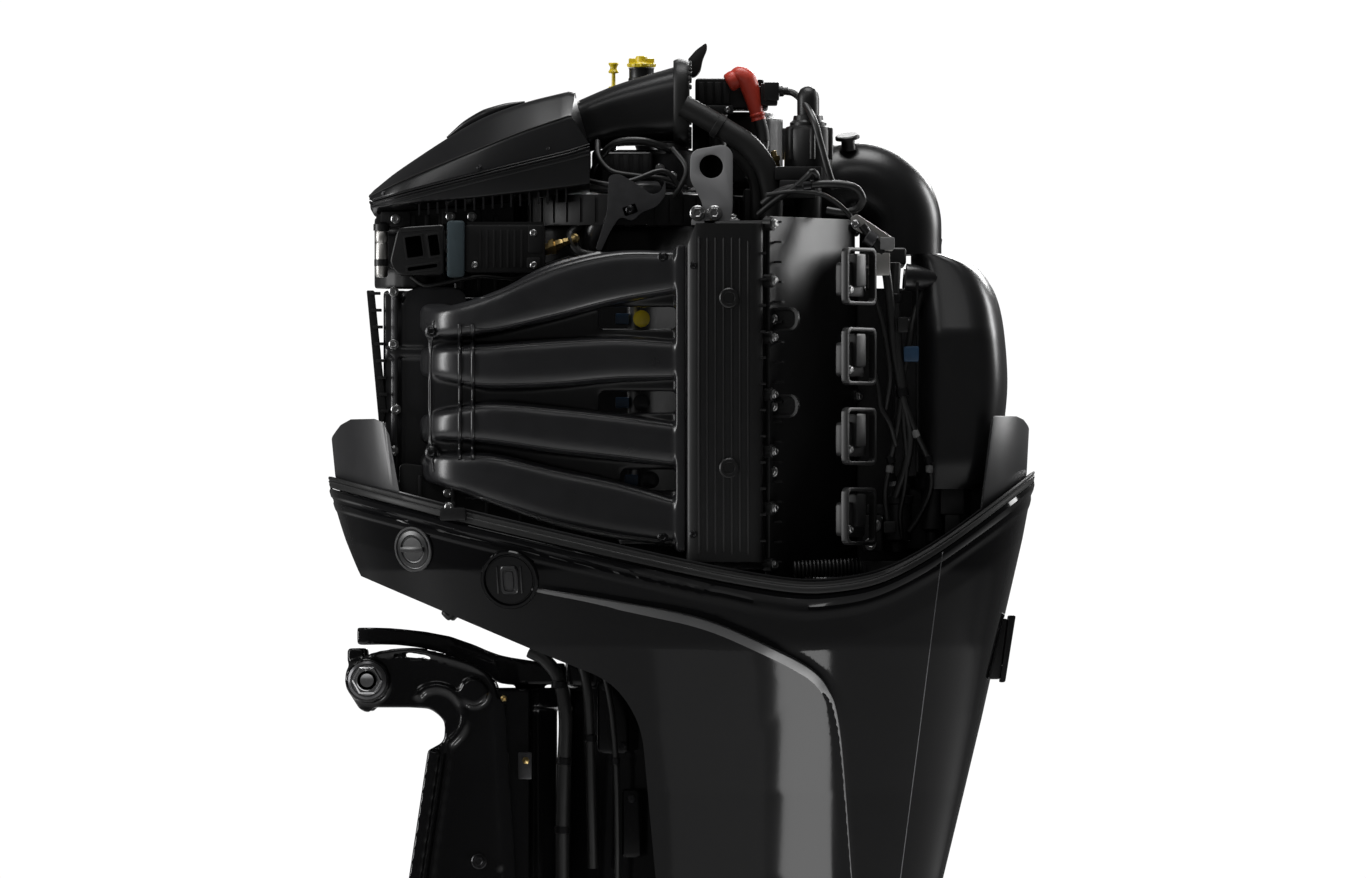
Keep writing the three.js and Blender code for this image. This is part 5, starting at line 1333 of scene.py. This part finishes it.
for side, word in SIDES:
    def ridge(points, radius, y=CHEEK, per=6):
        """A raised line on the outer side of the bracket."""
        path = curve_points([(x, side * y, z) for x, z in points], per)
        return tube(path, radius, 12, smooth=False)

    extras = [
        ridge([(-20, 24), (-14, 33), (4, 38), (24, 32), (37, 16), (41, -2), (38, -16), (30, -27),
            (21, -36)], 5.0),
        ridge([(21, -36), (18, -60), (11, -110), (2, -170), (-9, -250), (-20, -326)], 3.6),
        ridge([(-98, 66), (-84, 76), (-62, 82), (-26, 85), (10, 77), (33, 71), (56, 62), (74, 46),
            (84, 10), (90, -60), (96, -150), (99, -215), (86, -280), (70, -322)], 4.2, 167),
        ridge([(76, 30), (79, -10), (84, -90), (88, -200)], 2.6, 168),
        lathe((53, side * 160, 31), (0, side, 0), [(17, 0), (17, 12), (15, 15), (0, 15)], 32),
        soft(-112, -90, *span(side, 138, 160), 68, 88, 3)]
    cast_node(f"{word}_clamp_bracket", 2.8, "leg", 4, 0.5, extras, body="transom_mount")
    hub = lathe((TILT_X, side * 171, TILT_Z), (0, side, 0), [(25, 0), (25, 9), (22, 11.5),
        (20, 11.5), (19, 8), (17, 8), (0, 8)], 40)
    add(f"{word}_tube_seat", hub, "plate", 34, body="transom_mount")
    bolts(f"{word}_clamp_bolts", [(42, side * 172, 31 - 290), (60, side * 172, -190)], "dark_bolt",
        8, along=(0, side, 0), body="transom_mount")
    add(f"{word}_anode_pad", soft(56, 74, *span(side, 166, 174), -300, -250, 2), "alloy",
        body="transom_mount")

ends = [lathe((TILT_X, -196, TILT_Z), (0, 1, 0), [(8, 0.4), (8.8, 0), (12.8, 0), (14, 1.6),
    (14, 196)], 32)]
for side, _ in SIDES:
    ends.append(lathe((TILT_X, side * 178.5, TILT_Z), (0, side, 0), [(14, 0), (21, 0), (21, 2),
        (14, 3)], 36))
    ends.append(lathe((TILT_X, side * 181, TILT_Z), (0, side, 0), [(13, 0), (19, 0), (20, 1.5),
        (20, 9), (18, 11), (13.6, 11)], 6))
    ends.append(lathe((TILT_X, side * 188, TILT_Z), (0, side, 0), [(13.8, 0), (13.8, 6), (12.6, 8),
        (8.8, 8), (8, 7), (8, -40), (0, -40)], 36))
add("tilt_tube_steel", ends, "polished", 34, ("tilt_tube",), body="transom_mount")

cast_node("swivel_bracket", 3.0, "leg", 4, 0.5, body="swivel")
cast_node("steering_arm", 2.6, "leg", 4, 0.5, [
    tube([(-60, -20, 112), (-18, -24, 106), (21, -30, 93), (81, -48, 72)], 2.6, 10),
    tube([(-60, 20, 112), (-18, 24, 106), (21, 30, 93), (81, 48, 72)], 2.6, 10)])
cast_node("lower_yoke", 2.6, "leg", 4, 0.5)
cast_node("trim_pump_unit", 2.8, "leg", 4, 0.5, body="transom_mount")
RAM_FOOT, RAM_LEAN = (8, 0, -292), (0.149911, 0, 0.988699)
ring = [[(RAM_FOOT[0] + r * math.cos(a), y, RAM_FOOT[2] + r * math.sin(a))
    for r, y in ((11.2, -16), (20, -16), (21, -15), (21, 15), (20, 16), (11.2, 16))]
    for a in np.linspace(0, 2 * np.pi, 41)]
add("tilt_cylinder_barrel", [
    skin(ring, caps=False),
    lathe(RAM_FOOT, RAM_LEAN, [(0, 15), (15, 15), (17, 18), (17, 24), (0, 24)], 32),
    lathe(RAM_FOOT, RAM_LEAN, [(0, 22), (25, 22), (27, 24), (27, 60), (26, 61), (26, 63), (27, 64),
        (27, 190), (30, 192), (30, 196), (29, 197), (29, 200), (30, 201), (30, 212), (28, 214),
        (11.6, 214), (11.6, 49), (0, 49)], 56)], "leg", 34, ("tilt_cylinder",),
        body="ram_cylinder")
cast_node("tilt_lock_lever", 1.6, "leg", 3, 0.5, body="lock_lever")

fittings = [
    lathe((92, -174, 22), (0.2, -1, 0.3), [(4.5, 0), (4.5, 3), (2.4, 4), (2.4, 9), (0, 10)], 6),
    lathe((120, -80, -59), TO_PORT, [(5, 0), (5, 4), (2.6, 5), (2.6, 10), (0, 11)], 6)]
add("grease_fitting_bracket", fittings[0], "brass", body="transom_mount")
add("grease_fitting_swivel", fittings[1], "brass", body="swivel")
add("swivel_pad", soft(110, 128, -84, -68, -84, -48, 2.5), "plate", body="swivel")
for name, at, along in (("swivel_ear_bolt", (60, -71, 53), (0, -1, 0)), ("swivel_spine_bolt",
        (104, -60, -210), (0, -1, 0))):
    bolts(name, [at], "bolt", 6, along=along, body="swivel")

# hoses beside the bracket, from under the cowl down along the leg
UP_HOSES = {
    "rigging_hose": (9.0, [(126, -104, 84), (146, -110, 72), (164, -116, 46), (172, -116, 0),
                           (170, -112, -70), (168, -106, -150), (168, -100, -230)]),
    "water_hose": (6.5, [(190, -118, 78), (200, -122, 40), (204, -118, -20), (206, -112, -110),
                         (208, -104, -200)]),
    "speed_tube": (4.0, [(222, -126, 60), (232, -126, 10), (238, -122, -60), (240, -114, -150),
                         (240, -106, -220)]),
}
for hose, (radius, path) in UP_HOSES.items():
    add(hose, tube(path, radius, 16, 8), "wire", 60)
joints = []
for at, r in (((164, -117, 40), 10.6), ((170, -113, -60), 10.4), ((205, -118, -30), 8),
        ((238, -122, -60), 6), ((168, -106, -150), 10.4)):
    joints.append(lathe(at, (0.05, 0, 1), [(r - 2, -5), (r, -4), (r, 4), (r - 2, 5)], 22))
add("hose_clips", joints, "dark_bolt")
side_units = [soft(214, 256, -112, -88, -50, 48, 6, 3), soft(246, 272, -108, -88, -186, -96, 6, 3)]
add("housing_side_covers", side_units, "leg", 34)
bolts("housing_side_bolts", [(224, -113, 38), (248, -113, -40), (259, -109, -108)], "dark_bolt",
    4.5)

# ---------------------------------------------------------------- leg

SHAFT_Z = -870
# Height, bow end, stern end and half width of the housing.
HOUSING = curve_points([(150, 176, 560, 92), (-60, 176, 540, 84), (-211, 174, 560, 84),
    (-328, 172, 618, 92), (-345, 170, 640, 112), (-362, 170, 636, 108), (-460, 166, 616, 84),
    (-600, 160, 588, 56), (-630, 156, 590, 54)], 8)
leg = skin([level(*row) for row in HOUSING])
plate_plan = [(132, -30, 26), (132, 30, 26), (300, 92, 60), (560, 104, 50), (786, 62, 40),
    (786, -62, 40), (560, -104, 50), (300, -92, 60)]
upper = pooled(leg, prism("z", plate_plan, -640, -629, 12), block(171.5, 230, -60, 60, 38, 72),
    block(168.5, 230, -58, 58, -340, -308), *[tube([(x, side * 4, -632) for x in (160, 400, 600,
    770)], 5, 10) for side in (-1, 1)])
fused("housing_skin", upper, 3.6, "leg", 6, 0.45, hides=("driveshaft_housing",))
lines = []
for z in (-352, -612):
    ring = level(z, *[float(np.interp(-z, -HOUSING[:, 0], HOUSING[:, i])) for i in (1, 2, 3)],
        grow=0.4)
    lines.append(tube([*ring, ring[0]], 1.6, 6, smooth=False))
add("housing_joint_lines", lines, "rubber", 60)
bolts("housing_bolts", [((x, s * float(np.interp(x, [200, 380, 560], [68, 112, 84])), -372),
    (0, s, 0)) for s in (-1, 1) for x in (230, 520)], "dark_bolt", 8, along=None)


def at_gearcase(part):
    """Coordinates about the propeller shaft, X from the driveshaft, to the frame's axes."""
    return [(x + CRANK_X, y, z + SHAFT_Z) for x, y, z in part[0]], part[1]


nose = [(0, -168), (8, -167), (18, -163), (30, -154), (40, -144), (52, -122), (62, -92), (69, -56),
    (73, -16), (73, 200), (72, 240), (69.5, 285), (66, 318), (0, 318)]
torpedo = lathe((0, 0, 0), AFT, nose, 72)
strut = skin([level(*row) for row in curve_points([(229.5, -102, 332, 50), (189.5, -98, 318, 46),
    (90, -100, 290, 42), (30, -104, 286, 50)], 8)])
skeg = skin([oval((mid, 0, z), (reach, 0, 0), (0, thick, 0), 2.2, 72)
    for mid, z, reach, thick in curve_points([(80, -50, 130, 16), (96, -120, 104, 9),
    (120, -192, 66, 5), (122, -196, 60, 3)], 8)])
fused("gearcase_skin", at_gearcase(pooled(torpedo, strut, skeg)), 3.0, "leg", 6, 0.45,
    hides=("gearcase",))
grille = []
for side, _ in SIDES:
    for i in range(6):
        grille.append(soft(-62 + 14 * i, -54 + 14 * i, *span(side, 40, 47), 96, 150, 1.5))
add("water_intakes", at_gearcase(pooled(*grille)), "plate", 34)
bolts("gearcase_bolts", [((CRANK_X + x, s * 48, SHAFT_Z + 214), (0, s, 0)) for s in (-1, 1)
    for x in (-40, 120, 270)], "bolt", 7, along=None)
tab = prism("y", [(372, 228.5, 3), (452, 228.5, 3), (466, 200.5, 8), (424, 196.5, 8)], -6, 6, 5)
add("trim_tab_skin", at_gearcase(bevelled(tab, 2.2, 3, 40)), "alloy", 34, ("trim_tab",))

# ---------------------------------------------------------------- propeller

HUB_FRONT, HUB_BACK, TIP, PITCH = 324, 470, 192, 430


def blade(turn):
    """A propeller blade from the hub to the tip, at an angle round the shaft."""
    rings = []
    for radius in np.append(np.linspace(50, 186, 18), [190, 191.6]):
        share = (radius - 44) / (TIP - 44)
        half = 78 * math.sqrt(max(0.03, 1 - share ** 3.2)) * (0.86 + 0.3 * share)
        slope = math.atan(PITCH / (2 * math.pi * radius))
        thick = (6.5 - 4.3 * share) * (0.35 if radius > 191 else 1)
        ring = []
        for t in 2 * np.pi * np.arange(36) / 36:
            chord = -math.cos(t)
            camber = 2.4 * (1 - chord * chord)
            lift = math.sin(t) * (1 - 0.35 * chord) * 0.62
            out = lift * thick + camber * (1 - share) * 0.6
            around = half * chord * math.cos(slope) - out * math.sin(slope) + 26 * share
            along = half * chord * math.sin(slope) + out * math.cos(slope)
            angle = turn + around / radius
            ring.append((397 + along + 10 * share, radius * math.cos(angle),
                radius * math.sin(angle)))
        rings.append(ring)
    return skin(rings)


hub = lathe((0, 0, 0), AFT, [(56, HUB_FRONT), (59.4, HUB_FRONT + 1), (61, HUB_FRONT + 4),
    (63, HUB_FRONT + 22), (62.4, HUB_FRONT + 60), (60.4, HUB_BACK - 30), (61, HUB_BACK - 16),
    (65.4, HUB_BACK - 2), (65.6, HUB_BACK), (60.5, HUB_BACK), (58, HUB_BACK - 8),
    (56, HUB_BACK - 60), (31, HUB_BACK - 60), (30, HUB_BACK - 8), (28.6, HUB_BACK - 6),
    (12.5, HUB_BACK - 6)], 72)
vanes = [([(x, y * math.cos(a) - z * math.sin(a), y * math.sin(a) + z * math.cos(a))
    for x, y, z in part[0]], part[1]) for a in (0.4, 2.5, 4.6) for part in [block(HUB_BACK - 62,
    HUB_BACK - 12, 28, 59, -3, 3)]]
add("propeller_steel", at_gearcase(pooled(hub, *vanes, *[blade(i * math.pi / 2)
    for i in range(4)])), "polished", 34, ("propeller",), body="propeller")
nut = pooled(
    lathe((HUB_BACK - 5, 0, 0), AFT, [(12.6, 0), (26, 0), (26, 4), (24.6, 5), (12.6, 5)], 40),
    lathe((HUB_BACK, 0, 0), AFT, [(12.6, 0), (20, 0), (20, 11), (19, 13), (17, 13), (17, 16),
        (12.6, 16)], 6),
    lathe((HUB_BACK + 10, 0, 0), (0, 1, 0), [(1.6, -24), (1.6, 24)], 10))
add("propeller_nut_steel", at_gearcase(nut), "alloy", 34, ("propeller_nut",), body="propeller")

# ---------------------------------------------------------------- nodes shown as they are

FINISH = {"tilt_ram_rod": "polished", "throttle_plate": "alloy", "dipstick_tube": "steel",
          "crankshaft": "steel", "flywheel": "steel", "driveshaft": "steel",
          "propeller_shaft": "polished", "pinion_gear": "steel", "forward_gear": "steel",
          "reverse_gear": "steel", "bearing_carrier": "alloy", "water_pump_housing": "moulded",
          "pump_impeller": "rubber"}
for node, finish in FINISH.items():
    obj = NODES[node]
    obj.data.materials.clear()
    obj.data.materials.append(M[finish])
    trim = obj.modifiers.new("rounding", "BEVEL")
    trim.width = 0.0006
    trim.segments = 2
    trim.limit_method = "ANGLE"
    trim.angle_limit = math.radians(35)

# ---------------------------------------------------------------- floor, light and camera


FLOOR_Z = -1.075
SEEN_WHITE, ROOM_LIGHT = 1.05, 0.07  # world strength for camera rays and for all others
LENS, SENSOR = 440.9, 36
CAMERA_AT, CAMERA_AIM = Vector((0.326, -22.0, 0.10)), Vector((0.326, -0.25, 0.36))


def studio():
    """Floor, world and lamps; lengths here are metres."""
    floor = bpy.data.meshes.new("floor")
    floor.from_pydata([(x, y, FLOOR_Z) for x, y in ((-9, -9), (9, -9), (9, 9), (-9, 9))], [],
        [(0, 1, 2, 3)])
    ground = in_scene("floor", floor)
    pale = material("pale_floor", (0.8, 0.8, 0.8), 0.6, spread=0.05, blotch=1.0, tint=0.01)
    floor.materials.append(pale)

    world = bpy.data.worlds.new("room")
    bpy.context.scene.world = world
    world.use_nodes = True
    tree = world.node_tree
    seen, lit = tree.nodes["Background"], tree.nodes.new("ShaderNodeBackground")
    for node, strength in ((seen, SEEN_WHITE), (lit, ROOM_LIGHT)):
        node.inputs["Color"].default_value = (1, 1, 1, 1)
        node.inputs["Strength"].default_value = strength
    rays = tree.nodes.new("ShaderNodeLightPath")
    mix = tree.nodes.new("ShaderNodeMixShader")
    tree.links.new(rays.outputs["Is Camera Ray"], mix.inputs["Fac"])
    tree.links.new(lit.outputs["Background"], mix.inputs[1])
    tree.links.new(seen.outputs["Background"], mix.inputs[2])
    tree.links.new(mix.outputs["Shader"], tree.nodes["World Output"].inputs["Surface"])

    # name, place, aimed at, width, height, watts
    lamps = [("key", (-2.2, -3.0, 3.0), (0.2, 0, 0.3), 1.2, 1.2, 16),
             ("top", (0.45, -0.15, 3.6), (0.45, -0.05, 0.3), 2.3, 1.6, 88),
             ("front_high", (0.3, -3.2, 3.4), (0.35, 0, 0.4), 2.0, 0.5, 8),
             ("bow_strip", (-3.0, -0.9, 0.9), (0.2, -0.2, 0.3), 0.6, 2.2, 75),
             ("back", (1.4, 3.6, 2.2), (0.3, 0, 0.3), 2.4, 1.4, 130),
             ("stern", (3.6, 1.4, 1.6), (0.5, 0, 0.3), 0.8, 1.8, 70),
             ("low_card_dim", (0.33, -0.9, -0.84), (0.35, -0.2, -0.1), 0.26, 0.36, 0.12),
             ("low_card", (0.668, -0.9, -0.83), (0.5, -0.2, -0.1), 0.29, 0.34, 2.9)]
    for name, where, aim, wide, tall, power in lamps:
        light = bpy.data.lights.new(name, "AREA")
        light.shape = "RECTANGLE"
        light.size, light.size_y = wide, tall
        light.energy = power
        lamp = in_scene(name, light)
        lamp.location = where
        lamp.rotation_euler = (Vector(where) - Vector(aim)).to_track_quat("Z", "Y").to_euler()
        lamp.visible_camera = False
    bpy.context.scene.view_settings.view_transform = "Standard"


def camera():
    """The photo's view, from far off to port."""
    lens = bpy.data.cameras.new("camera")
    lens.lens = LENS
    lens.sensor_width = SENSOR
    eye = in_scene("camera", lens)
    eye.location = CAMERA_AT
    eye.rotation_euler = (CAMERA_AT - CAMERA_AIM).to_track_quat("Z", "Y").to_euler()
    bpy.context.scene.camera = eye


studio()
camera()
